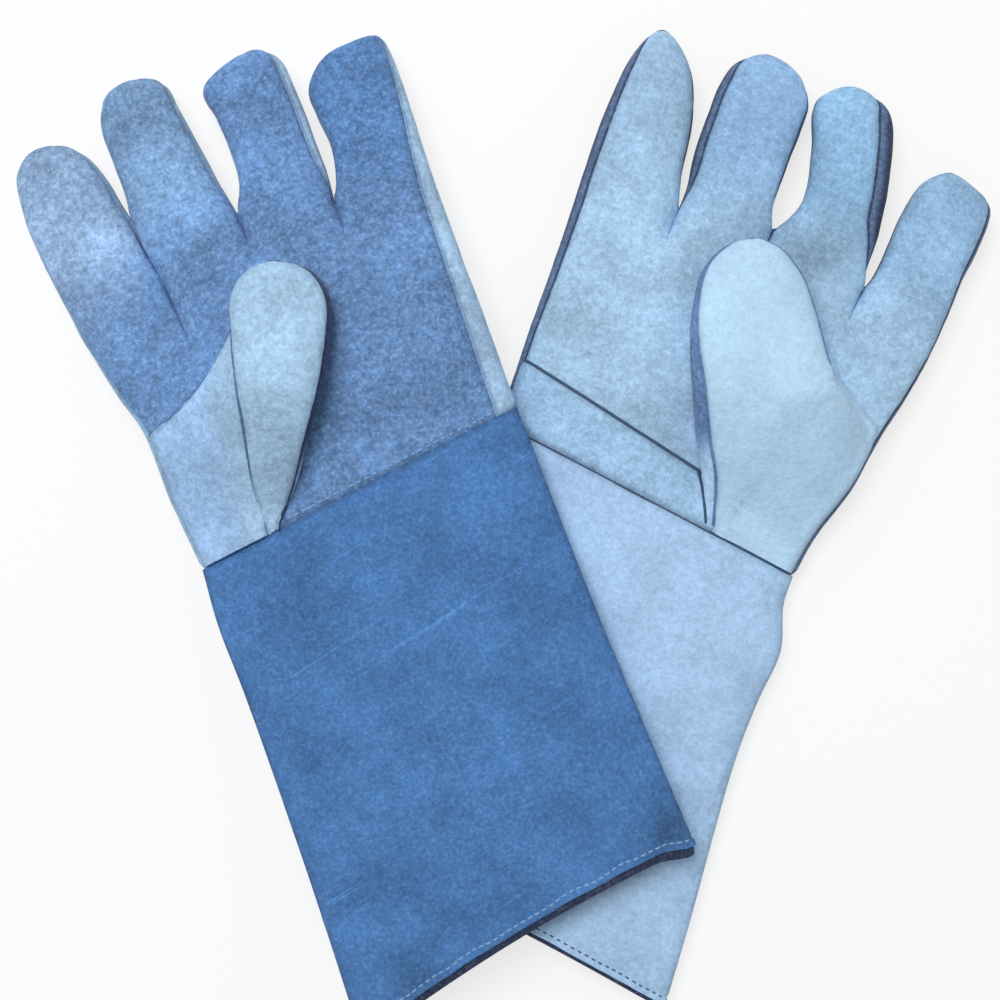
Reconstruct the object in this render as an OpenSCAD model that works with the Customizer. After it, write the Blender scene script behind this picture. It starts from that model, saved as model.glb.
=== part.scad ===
// Pair of insulated split-leather gauntlet gloves for cryogenic work, laid crossed with the palms up.
// The left glove lies on the cuff of the right one, and each thumb is folded over its palm.
// Each glove is drawn thumb side +X, fingers +Y and back on z = 0, then turned, mirrored and placed.

/* [Hand] */
// Width across the wrist seam
wrist_w = 127; // [110:1:140]
// Wrist seam to the highest finger crotch
palm_len = 112; // [100:1:125]
// Height of the padded palm
palm_h = 25; // [23:0.5:30]

/* [Fingers] */
// Little finger, crotch line to tip
little_len = 66; // [56:1:74]
// Ring finger, crotch line to tip
ring_len = 65; // [58:1:78]
// Middle finger, crotch line to tip
middle_len = 68; // [60:1:82]
// Index finger, crotch line to tip
index_len = 66; // [58:1:78]
// Width of a finger
finger_w = 31; // [28:0.5:33]
// Height of a finger
finger_h = 20; // [18:0.5:22]

/* [Thumb] */
// Size of the thumb relative to the drawn pattern
thumb_scale = 1; // [0.9:0.01:1.05]
// Height of the thumb where it is fullest
thumb_h = 21; // [19:0.5:24]

/* [Cuff] */
// Wrist seam to the hem
cuff_len = 174; // [130:1:200]
// Width across the hem
hem_w = 144; // [126:1:156]
// How far the hem rises in its middle
hem_bow = 3.5; // [0:0.5:6]
// Height of the flattened cuff
cuff_h = 16; // [14:0.5:20]
// Width of the folded hem
hem_fold = 13; // [8:0.5:20]

/* [Leather and liner] */
// Thickness of the leather
leather_t = 1.8; // [1.4:0.1:2.2]
// Thickness of the insulating liner
liner_t = 3; // [2:0.1:3.4]
// Thickness of the cuff lining
lining_t = 1.2; // [0.8:0.1:2]

/* [Layout] */
// Angle of each glove from the line between them
splay = 20; // [16:0.5:24]
// Distance between the two wrist centres
wrist_pitch = 107.8; // [100:0.1:116]
// How much higher up the left glove lies
wrist_step = 3.9; // [0:0.1:10]

/* [Hidden] */

// roundness of the flattened sections
plump = 2.6;
// half the thickness left between front and back panels for the welt, and half the welt itself
seam_gap = 0.7;
welt_half = 0.5;
// clearance at the bending lines
bend_gap = 0.4;
// clearance between leather and liner
ease = 0.45;

// finger order: little, ring, middle, index
finger_len = [little_len, ring_len, middle_len, index_len];
// crotch line, from the little finger's side to the index finger's side
kx = wrist_w / 124;
knuckles = [
    [-63 * kx, palm_len - 17],
    [-26 * kx, palm_len - 5],
    [10 * kx, palm_len],
    [47 * kx, palm_len - 10],
    [79.5 * kx, palm_len - 26]
];
wrist_half = [wrist_w / 2, -8.5];
hem_half = [hem_w / 2, -11];
slant = 8.5 / 62;

// brings the middle of the whole pair over the origin
centre = [-0.4, 11.2];

// how far the left glove falls from the cuff below it to its fingertips
lift = cuff_h + 0.6;
fall = 0.094;

// each glove: [mirrored, height, fall, fingers as [stretch, lean, bow], thumb pattern]
// thumb pattern: [foot of the crease, top of the crease, rows of [along, outer edge, free edge]]
right_glove = [
    false, 0, 0,
    [[1.053, -7, 2], [1.017, -3.5, 0.7], [0.994, -3, 3.5], [0.965, 5, 4]],
    [
        [30, 0], [43, 70],
        [[15, 0.5, 17], [33, 0.5, 29.5], [56, 0.5, 46.5], [71, 2, 54], [84, 12, 54], [93, 22, 50], [98.5, 31, 44]]
    ]
];
left_glove = [
    true, lift, fall,
    [[0.906, -5.3, -1.8], [0.94, -3.75, -2], [1.015, 1.2, 1], [1.032, 3.8, 1]],
    [
        [33, -2], [20, 70],
        [[15, 0.5, 13], [30, 0.5, 20], [46, 0.5, 27], [66, 0.5, 33], [78, 1.5, 33.5], [87, 6, 29], [92.5, 13, 23]]
    ]
];

dark_blue = [0.36, 0.50, 0.69];
light_blue = [0.65, 0.79, 0.90];
navy = [0.08, 0.11, 0.18];
cream = [0.86, 0.83, 0.76];
grey_felt = [0.62, 0.63, 0.64];

function mix(a, b, t) = a + (b - a) * t;
function clamp01(t) = max(0, min(1, t));
function smooth(t) = let (c = clamp01(t)) c * c * (3 - 2 * c);
function unit(p) = p / norm(p);
function spow(v, p) = sign(v) * pow(abs(v), p);
// a flattened round section: across and up, at an angle
function across(a) = spow(cos(a), 2 / plump);
function up(a) = spow(sin(a), 2 / plump);
// closing curve of a fingertip, 1 at its start and 0 at the very tip
function closing(s, start, power) =
    s <= start ? 1 : pow(max(0, 1 - pow((s - start) / (1 - start), power)), 1 / power);
// a point of a glove, let down along the hand where the glove drapes
function place(g, p, z) = [p[0], p[1], z + g[1] - g[2] * max(0, p[1] + slant * p[0])];

// height of the hand at a distance from the wrist seam
function hand_h(q) =
    let (v = clamp01(q / (palm_len - 8)))
    v < 0.5 ? mix(cuff_h, palm_h, smooth(v / 0.5)) : mix(palm_h, finger_h, smooth((v - 0.5) / 0.5));
// height of the palm's upper surface at a point
function palm_top(p) =
    let (
        q = p[1] + slant * p[0],
        v = clamp01(q / (palm_len - 8)),
        side = clamp01(abs(p[0] - 8 * v) / (wrist_w / 2 + 9 * v))
    )
    hand_h(q) / 2 * (1 + pow(1 - pow(side, plump), 1 / plump));

// closed sheet between an outer and an inner grid of points, each a list of rows
module sheet(outer, inner) {
    rows = len(outer);
    cols = len(outer[0]);
    count = rows * cols;
    points = [for (grid = [outer, inner]) for (row = grid) for (p = row) p];
    function at(k, r, c) = k * count + r * cols + c;
    faces = [
        for (r = [0:rows - 2])
            for (c = [0:cols - 2])
                each [
                    [at(0, r, c), at(0, r + 1, c), at(0, r + 1, c + 1)],
                    [at(0, r, c), at(0, r + 1, c + 1), at(0, r, c + 1)],
                    [at(1, r, c), at(1, r + 1, c + 1), at(1, r + 1, c)],
                    [at(1, r, c), at(1, r, c + 1), at(1, r + 1, c + 1)]
                ],
        for (r = [0:rows - 2])
            each [
                [at(0, r, 0), at(1, r, 0), at(1, r + 1, 0)],
                [at(0, r, 0), at(1, r + 1, 0), at(0, r + 1, 0)],
                [at(0, r, cols - 1), at(1, r + 1, cols - 1), at(1, r, cols - 1)],
                [at(0, r, cols - 1), at(0, r + 1, cols - 1), at(1, r + 1, cols - 1)]
            ],
        for (c = [0:cols - 2])
            each [
                [at(0, 0, c), at(1, 0, c + 1), at(1, 0, c)],
                [at(0, 0, c), at(0, 0, c + 1), at(1, 0, c + 1)],
                [at(0, rows - 1, c), at(1, rows - 1, c), at(1, rows - 1, c + 1)],
                [at(0, rows - 1, c), at(1, rows - 1, c + 1), at(0, rows - 1, c + 1)]
            ]
    ];
    polyhedron(points, faces, convexity = 6);
}

// tube between an outer and an inner stack of loops, open at the first loop and at the last one if it is not closed
module tube(outer, inner, closed) {
    rows = len(outer);
    cols = len(outer[0]);
    count = rows * cols;
    points = [for (grid = [outer, inner]) for (row = grid) for (p = row) p];
    function at(k, r, c) = k * count + r * cols + c % cols;
    faces = [
        for (r = [0:rows - 2])
            for (c = [0:cols - 1])
                each [
                    [at(0, r, c), at(0, r + 1, c), at(0, r + 1, c + 1)],
                    [at(0, r, c), at(0, r + 1, c + 1), at(0, r, c + 1)],
                    [at(1, r, c), at(1, r + 1, c + 1), at(1, r + 1, c)],
                    [at(1, r, c), at(1, r, c + 1), at(1, r + 1, c + 1)]
                ],
        for (c = [0:cols - 1])
            each [
                [at(0, 0, c), at(1, 0, c + 1), at(1, 0, c)],
                [at(0, 0, c), at(0, 0, c + 1), at(1, 0, c + 1)]
            ],
        for (c = [0:cols - 1])
            if (!closed)
                each [
                    [at(0, rows - 1, c), at(1, rows - 1, c), at(1, rows - 1, c + 1)],
                    [at(0, rows - 1, c), at(1, rows - 1, c + 1), at(0, rows - 1, c + 1)]
                ],
        for (c = [1:cols - 2])
            if (closed)
                each [
                    [at(0, rows - 1, 0), at(0, rows - 1, c + 1), at(0, rows - 1, c)],
                    [at(1, rows - 1, 0), at(1, rows - 1, c), at(1, rows - 1, c + 1)]
                ]
    ];
    polyhedron(points, faces, convexity = 6);
}

// flat strip along a path of [inner point, outer point, middle height]
module strip(g, path) {
    sheet(
        [for (p = path) [place(g, p[0], p[2] - welt_half), place(g, p[1], p[2] - welt_half)]],
        [for (p = path) [place(g, p[0], p[2] + welt_half), place(g, p[1], p[2] + welt_half)]]
    );
}

// one section of a digit, as [left end, right end, middle height, half height]
function finger_section(g, i, s, inset) =
    let (
        seg = knuckles[i + 1] - knuckles[i],
        root = (knuckles[i + 1] + knuckles[i]) / 2,
        lean = g[3][i][1],
        dir = [sin(lean), cos(lean)],
        side = unit(mix(unit(seg), [dir[1], -dir[0]], smooth(s / 0.35))),
        reach = finger_len[i] * g[3][i][0] - inset,
        c = root + dir * (reach * s) + [dir[1], -dir[0]] * (g[3][i][2] * 4 * s * (1 - s)),
        half = mix(norm(seg) / 2 - 0.4, finger_w / 2, smooth(s / 0.3)) * max(0.3, closing(s, 0.78, 2.4)) - inset
    )
    [c - side * half, c + side * half, finger_h / 2, finger_h / 2 * closing(s, 0.72, 2.2) - inset];

// the thumb's pattern rows between its foot and its tip
function thumb_section(g, r, inset) =
    let (
        t = g[4],
        dir = unit(t[1] - t[0]),
        side = [-dir[1], dir[0]],
        rows = t[2],
        row = rows[r],
        last = len(rows) - 1,
        a = row[0] * thumb_scale - (r == last ? inset : 0),
        c = t[0] + dir * a,
        foot = hand_h(c[1] + slant * c[0]) + 0.8
    )
    [
        c + side * (row[2] * thumb_scale - inset), c + side * (row[1] + inset),
        foot + thumb_h / 2 * thumb_mid[r], max(0.2, thumb_h / 2 * thumb_full[r] - inset)
    ];

// points of half a section: upper half from its left end to its right end, or the lower one flattened below
function half_row(g, s, upper, steps) = [
    for (k = [0:steps])
        let (
            a = 180 - 180 * k / steps,
            c = across(a),
            rise = upper ? up(a) : min(1, 1.12 * up(a)),
            z = max(seam_gap, s[3] * rise)
        )
        place(g, mix(s[0], s[1], 0.5 + 0.5 * c), s[2] + (upper ? z : -z))
];
function loop_row(g, s, steps) = [
    for (k = [0:steps - 1])
        let (a = 180 - 360 * k / steps, rise = up(a))
        place(g, mix(s[0], s[1], 0.5 + 0.5 * across(a)), s[2] + s[3] * (rise < 0 ? max(-1, 1.12 * rise) : rise))
];

// fullness of the thumb and height of its seam at the pattern rows
thumb_full = [0.34, 0.66, 0.96, 1, 0.92, 0.7, 0];
thumb_mid = [0.34, 0.66, 0.96, 1, 0.98, 0.9, 0.8];
finger_stops = [0, 0.16, 0.4, 0.7, 0.84, 0.93, 0.98, 1];
liner_stops = [0, 0.16, 0.4, 0.7, 0.84, 0.93];

module finger_panel(g, i, upper) {
    outer = [for (s = finger_stops) half_row(g, finger_section(g, i, s, 0), upper, 8)];
    inner = [for (s = finger_stops) half_row(g, finger_section(g, i, s, leather_t), upper, 8)];
    if (upper) sheet(outer, inner);
    else sheet(inner, outer);
}

module finger_welt(g, i) {
    sides = [for (s = finger_stops) [finger_section(g, i, s, leather_t), finger_section(g, i, s, -0.6 * smooth(s / 0.4))]];
    last = len(sides) - 1;
    strip(g, [
        for (k = [0:last]) [sides[k][0][0], sides[k][1][0], finger_h / 2],
        for (k = [last:-1:0]) [sides[k][0][1], sides[k][1][1], finger_h / 2]
    ]);
}

module finger_liner(g, i) {
    skin = leather_t + ease;
    tube(
        [for (s = liner_stops) loop_row(g, finger_section(g, i, s, skin), 16)],
        [for (s = liner_stops) loop_row(g, finger_section(g, i, s == 0.93 ? 0.9 : s, skin + liner_t), 16)],
        true
    );
}

// the thumb's front runs down to its foot, and its back stops above the way into the palm
module thumb_panel(g, upper) {
    first = upper ? 0 : 2;
    last = len(g[4][2]) - 1;
    outer = [for (r = [first:last]) half_row(g, thumb_section(g, r, 0), upper, 8)];
    inner = [for (r = [first:last]) half_row(g, thumb_section(g, r, leather_t), upper, 8)];
    if (upper) sheet(outer, inner);
    else sheet(inner, outer);
}

module thumb_welt(g) {
    last = len(g[4][2]) - 1;
    sides = [for (r = [2:last]) [thumb_section(g, r, leather_t), thumb_section(g, r, r == last ? 0 : -0.4)]];
    strip(g, [
        for (s = sides) [s[0][0], s[1][0], s[1][2]],
        for (k = [last - 2:-1:0]) [sides[k][0][1], mix(sides[k][0][1], sides[k][1][1], 0.9), sides[k][1][2]]
    ]);
}

module thumb_liner(g) {
    skin = leather_t + ease;
    rows = [2, 3, 4, 5];
    tube(
        [for (r = rows) loop_row(g, thumb_section(g, r, skin), 16)],
        [for (r = rows) loop_row(g, thumb_section(g, r, skin + liner_t), 16)],
        true
    );
}

// a point of the hand at column c of 20 across and v along, from the wrist seam to the crotch line
function hand_point(g, c, v, inset, upper) =
    let (
        i = min(3, floor(c / 5)),
        wide = 180 - 9 * c,
        local = 180 - 36 * (c - 5 * i),
        seg = knuckles[i + 1] - knuckles[i],
        low = wrist_half * across(wide),
        high = (knuckles[i + 1] + knuckles[i]) / 2 + seg / 2 * across(local) - [0, bend_gap],
        p = mix(low, high, v) - [inset * across(wide), 0],
        q = v * (palm_len - 8),
        h = hand_h(q),
        web = c == 0 || c == 20 ? 0 : max(up(local), inset > 0 ? 0.14 : 0.45),
        full = mix(up(wide), web, smooth((v - 0.72) / 0.28)),
        z = (h / 2 - inset) * (upper ? full : min(1, 1.12 * full))
    )
    place(g, p, h / 2 + (upper ? 1 : -1) * max(seam_gap, z));
function hand_grid(g, inset, upper) =
    [for (v = [0, 0.12, 0.28, 0.5, 0.74, 0.9, 1]) [for (c = [0:20]) hand_point(g, c, v, inset, upper)]];

// way from the palm into the thumb
module thumb_hole(g) {
    t = g[4];
    mid = mix(t[0], t[1], 0.45);
    translate([mid[0], mid[1], g[1] + hand_h(30) / 2 - 4])
        rotate([0, 0, atan2(t[1][1] - t[0][1], t[1][0] - t[0][0])])
            scale([1.5, 1, 1])
                cylinder(h = 40, d = 23, $fn = 20);
}

module palm_panel(g) {
    difference() {
        sheet(hand_grid(g, 0, true), hand_grid(g, leather_t, true));
        thumb_hole(g);
    }
}

module back_panel(g) {
    sheet(hand_grid(g, leather_t, false), hand_grid(g, 0, false));
}

module hand_welt(g) {
    stops = [0.02, 0.15, 0.3, 0.5, 0.7, 0.85, 0.98];
    for (c = [0, 20]) {
        inner = [for (v = stops) hand_point([g[0], 0, 0, g[3], g[4]], c, v, leather_t, true)];
        outer = [for (v = stops) hand_point([g[0], 0, 0, g[3], g[4]], c, v, -0.8, true)];
        path = [for (k = [0:6]) [[inner[k][0], inner[k][1]], [outer[k][0], outer[k][1]], outer[k][2] - seam_gap]];
        strip(g, c == 0 ? path : [for (k = [6:-1:0]) path[k]]);
    }
}

// liner loops: upper half from the little finger's side, lower half back again
function hand_loop(g, v, inset) = [
    for (c = [0:20]) hand_liner_point(g, c, v, inset, 1),
    for (c = [19:-1:1]) hand_liner_point(g, c, v, inset, -1)
];
function hand_liner_point(g, c, v, inset, way) =
    let (
        high = hand_point(g, c, v, inset, way > 0),
        h = hand_h(v * (palm_len - 8)) / 2,
        middle = place(g, high, h)
    )
    c == 0 || c == 20 ? middle : high;

module hand_liner(g) {
    skin = leather_t + 1.6 * ease;
    stops = [0.03, 0.12, 0.28, 0.5, 0.74];
    difference() {
        tube([for (v = stops) hand_loop(g, v, skin)], [for (v = stops) hand_loop(g, v, skin + liner_t)], false);
        thumb_hole(g);
    }
}

// raised band across the palm, between the cuff seam and a second seam
module wrist_band(g) {
    sheet(
        [for (k = [0:3]) [for (c = [3:11]) hand_point(g, c, mix(0.04, 0.27 - 0.008 * c, k / 3), -1.7, true)]],
        [for (k = [0:3]) [for (c = [3:11]) hand_point(g, c, mix(0.04, 0.27 - 0.008 * c, k / 3), -0.5, true)]]
    );
}

// panel from the thumb's crease to the edge of the hand
module thumb_gusset(g) {
    t = g[4];
    inner_edge = [for (k = [0:5]) mix(t[0], t[1], mix(0.05, 0.94, k / 5)) + [1.2, 0]];
    outer_edge = [for (k = [0:5]) mix([wrist_w / 2 - 5, -2], [knuckles[4][0] - 12, palm_len * 0.44], k / 5)];
    function spot(k, m, t) =
        let (p = mix(inner_edge[k], outer_edge[k], m / 5))
        place(g, p, palm_top(p) + 0.7 + 3 * pow(1 - m / 5, 2) + t);
    sheet(
        [for (k = [0:5]) [for (m = [0:5]) spot(k, m, leather_t)]],
        [for (k = [0:5]) [for (m = [0:5]) spot(k, m, 0)]]
    );
}

// a section of the cuff at v along it, from the wrist seam to the hem
function cuff_point(g, a, v, inset, upper) =
    let (
        c = across(a),
        low = mix(wrist_half, hem_half, v) - [inset, 0],
        p = [0, -bend_gap - (cuff_len - bend_gap) * v] + low * c + [0, hem_bow * v * (1 - c * c)],
        z = (cuff_h / 2 - inset) * (upper ? up(a) : min(1, 1.12 * up(a)))
    )
    place([g[0], g[1], 0], p, cuff_h / 2 + (upper ? 1 : -1) * max(seam_gap, z));
cuff_stops = [0, 0.15, 0.4, 0.7, 0.92, 1];

module cuff_panel(g, upper) {
    outer = [for (v = cuff_stops) [for (k = [0:14]) cuff_point(g, 180 - 180 * k / 14, v, 0, upper)]];
    inner = [for (v = cuff_stops) [for (k = [0:14]) cuff_point(g, 180 - 180 * k / 14, v, leather_t, upper)]];
    if (upper) sheet(inner, outer);
    else sheet(outer, inner);
}

function cuff_loop(g, v, inset) = [
    for (k = [0:27])
        let (a = 180 - 360 * k / 28, p = cuff_point(g, a < 0 ? -a : a, v, inset, a >= 0))
        k == 0 || k == 14 ? [p[0], p[1], g[1] + cuff_h / 2] : p
];

module cuff_lining(g) {
    skin = leather_t + ease;
    stops = [0.01, 0.3, 0.6, 1 - (hem_fold + 1) / cuff_len];
    tube([for (v = stops) cuff_loop(g, v, skin + lining_t)], [for (v = stops) cuff_loop(g, v, skin)], false);
}

module cuff_hem(g) {
    skin = leather_t + ease;
    stops = [1 - hem_fold / cuff_len, 1 - 0.5 * hem_fold / cuff_len, 1.005];
    tube([for (v = stops) cuff_loop(g, v, skin + leather_t)], [for (v = stops) cuff_loop(g, v, skin)], false);
}

// put a glove in its place
module lay(g) {
    way = g[0] ? -1 : 1;
    translate([wrist_pitch / 2 * way + centre[0], -wrist_step / 2 * way + centre[1], 0])
        rotate([0, 0, -splay * way])
            mirror([g[0] ? 1 : 0, 0, 0])
                children();
}

module glove(name, g, main, second, thumb) {
    module piece(part) {
        lay(g) children();
    }
    color(main) piece("palm_panel") palm_panel(g);
    color(second) piece("back_panel") back_panel(g);
    color(second) piece("hand_welt") hand_welt(g);
    color(cream) piece("hand_liner") hand_liner(g);
    if (!g[0]) color(main) piece("wrist_band") wrist_band(g);
    color(thumb) piece("thumb_gusset") thumb_gusset(g);
    color(main) piece("cuff_front") cuff_panel(g, true);
    color(main) piece("cuff_back") cuff_panel(g, false);
    color(grey_felt) piece("cuff_lining") cuff_lining(g);
    color(navy) piece("cuff_hem") cuff_hem(g);
    color(thumb) piece("thumb_front") thumb_panel(g, true);
    color(thumb) piece("thumb_back") thumb_panel(g, false);
    color(thumb) piece("thumb_welt") thumb_welt(g);
    color(cream) piece("thumb_liner") thumb_liner(g);
    for (i = [0:3]) {
        finger = ["little", "ring", "middle", "index"][i];
        color(main) piece(str(finger, "_front")) finger_panel(g, i, true);
        color(second) piece(str(finger, "_back")) finger_panel(g, i, false);
        color(second) piece(str(finger, "_welt")) finger_welt(g, i);
        color(cream) piece(str(finger, "_liner")) finger_liner(g, i);
    }
}

glove("right", right_glove, light_blue, navy, light_blue);
glove("left", left_glove, dark_blue, light_blue, light_blue);
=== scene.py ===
import math

import bmesh
import bpy
import numpy as np
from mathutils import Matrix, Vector, noise
from mathutils.bvhtree import BVHTree


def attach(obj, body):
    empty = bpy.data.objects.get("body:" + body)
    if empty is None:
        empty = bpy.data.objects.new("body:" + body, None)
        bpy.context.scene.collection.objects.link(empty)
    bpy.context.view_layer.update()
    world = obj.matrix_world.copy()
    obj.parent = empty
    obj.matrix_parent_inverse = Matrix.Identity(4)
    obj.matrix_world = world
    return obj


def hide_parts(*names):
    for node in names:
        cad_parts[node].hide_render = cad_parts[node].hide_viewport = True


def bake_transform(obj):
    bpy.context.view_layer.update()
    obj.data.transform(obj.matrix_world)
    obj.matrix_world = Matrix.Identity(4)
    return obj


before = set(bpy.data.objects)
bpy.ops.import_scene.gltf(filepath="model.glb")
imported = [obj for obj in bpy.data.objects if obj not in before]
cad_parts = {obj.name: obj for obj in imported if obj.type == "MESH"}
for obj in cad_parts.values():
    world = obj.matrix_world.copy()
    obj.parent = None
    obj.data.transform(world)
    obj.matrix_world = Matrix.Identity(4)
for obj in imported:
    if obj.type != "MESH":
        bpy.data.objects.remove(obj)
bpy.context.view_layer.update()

# Sizes of the pattern, in millimetres in a glove's own frame:
# x towards the thumb, y towards the fingertips, z up, origin in the middle of the wrist seam
MM = 0.001
PLUMP = 2.6
CUFF_H = 16.0
PALM_H = 25.0
FINGER_H = 20.0
THUMB_H = 21.0
PALM_LEN = 104.0
SLANT = 8.5 / 62
LEATHER = 1.4
BAND_LEATHER = 1.2
HAND_LINER = 3.0
FINGER_LINER = 2.4
THUMB_LINER = 2.2
CANVAS_LINING = 1.2
HEM_TRIM = 0.5

# Room between the leather's outer face and what lies inside it
HAND_GAP = 3.2
LINER_GAP = 2.8
CUFF_GAP = 3.0

# Radius of the welts and threads in the seams, and pitch, length, radius and depth of the sewn stitches
WELT = 0.6
FINGER_WELT = 0.55
WRIST_STITCH = (3.2, 2.0, 0.3, 0.1)
HEM_STITCH = (3.0, 2.3, 0.32, 0.1)
PRESSED_STITCH = (3.0, 2.3, 0.32, 0.3)

# Lay of the pair: turn of each glove, distance and step between the wrists, middle of the pair,
# and the stretch past the wrist over which the upper glove's hand begins to slope down
SPLAY = math.radians(20)
WRIST_PITCH = 107.8
WRIST_STEP = 3.9
CENTRE = (-0.4, 11.2)
SLOPE_START = 40.0

# Mesh fineness
CURVE_STEPS = 20
FINGER_ROWS = 54
FINGER_COLS = 30
HAND_ROWS = 72
WRAP_COLS = 8
CUFF_ROWS = 84
CUFF_COLS = 84
THUMB_ROWS = 64
THUMB_COLS = 36
GUSSET_COLS = 26
SKIRT_ROWS = 8
BAND_ROWS = 18
BAND_COLS = 87
HAND_LINER_ROWS = 16
HAND_LINER_COLS = 60
LINER_COLS = 28
LINER_STEP = 3
THUMB_LINER_START = 18
LINING_ROWS = 30
LINING_COLS = 96
MOUTH_COLS = 120
MOUTH_ROWS = 6
LIP_STEPS = 8
SEAM_POINTS = 240

# How closely rows crowd towards a tip or the hem
FINGER_CROWDING = 1.35
THUMB_CROWDING = 1.25
CUFF_CROWDING = 1.25

# Cloth simulation: frames, coarseness of the sheets, and how far out and in a sheet may buckle
DRAPE_FRAMES = 20
HAND_STEP = 3
PANEL_STEPS = (2, 3)
HAND_BUCKLE = (2.0, 1.4)
THUMB_BUCKLE = (1.6, 1.1)
THUMB_SLACK = 0.02
CUFF_BUCKLE = (1.5, 0.8)
PRESSED_BUCKLE = (0.1, 0.8)
CUFF_SLACK = 0.012

# The leather's swells, as the size and height of each, and its puckers at a seam: size, height and reach
SWELLS = ((27, 0.55), (9.5, 0.28), (4.5, 0.1))
PUCKER = (2.6, 0.12, 5)
# The dip at a seam and the rise beside it: height, place and width
SEAM_FORM = ((-0.9, 0, 1.3), (0.3, 5, 3))
# Stretch over which all of these fade at a plain side, and width of the shade along a seam
SEAM_FADE = 6
SEAM_SHADE = 1.6

# Least height of the leather above what it lies on and of the thumb above the palm,
# how far the thumb's root sinks into the palm, room at the tip of a liner, and a distance past all seams
REST = 0.1
THUMB_REST = 0.8
THUMB_SINK = 5.5
TIP_ROOM = 5.5
FAR = 1e3

# Half width at which a finger or the thumb has its full height
FINGER_FULL = 14.5
THUMB_FULL = 15.0

# Stretch over which the leather turns at a finger's root, at the thumb's crease and at the wrist seam
FINGER_REACH = (1.0, 24.0)
THUMB_REACH = (-8.0, 8.0)
WRIST_REACH = (-14.0, -1.0)

FINGERS = ("little", "ring", "middle", "index")


def srgb(red, green, blue):
    """A colour as it looks on screen, turned into the linear values that a shader takes."""
    parts = np.array([red, green, blue]) / 255
    return np.where(parts <= 0.04045, parts / 12.92, ((parts + 0.055) / 1.055) ** 2.4)


NAVY = srgb(42, 54, 84)
FLEECE_COLOUR = srgb(222, 216, 202)
CANVAS_COLOUR = srgb(176, 178, 180)
NAP_COLOUR = (0.78, 0.87, 0.95, 1.0)
SHEEN_COLOUR = (0.75, 0.86, 1.0, 1.0)

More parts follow.
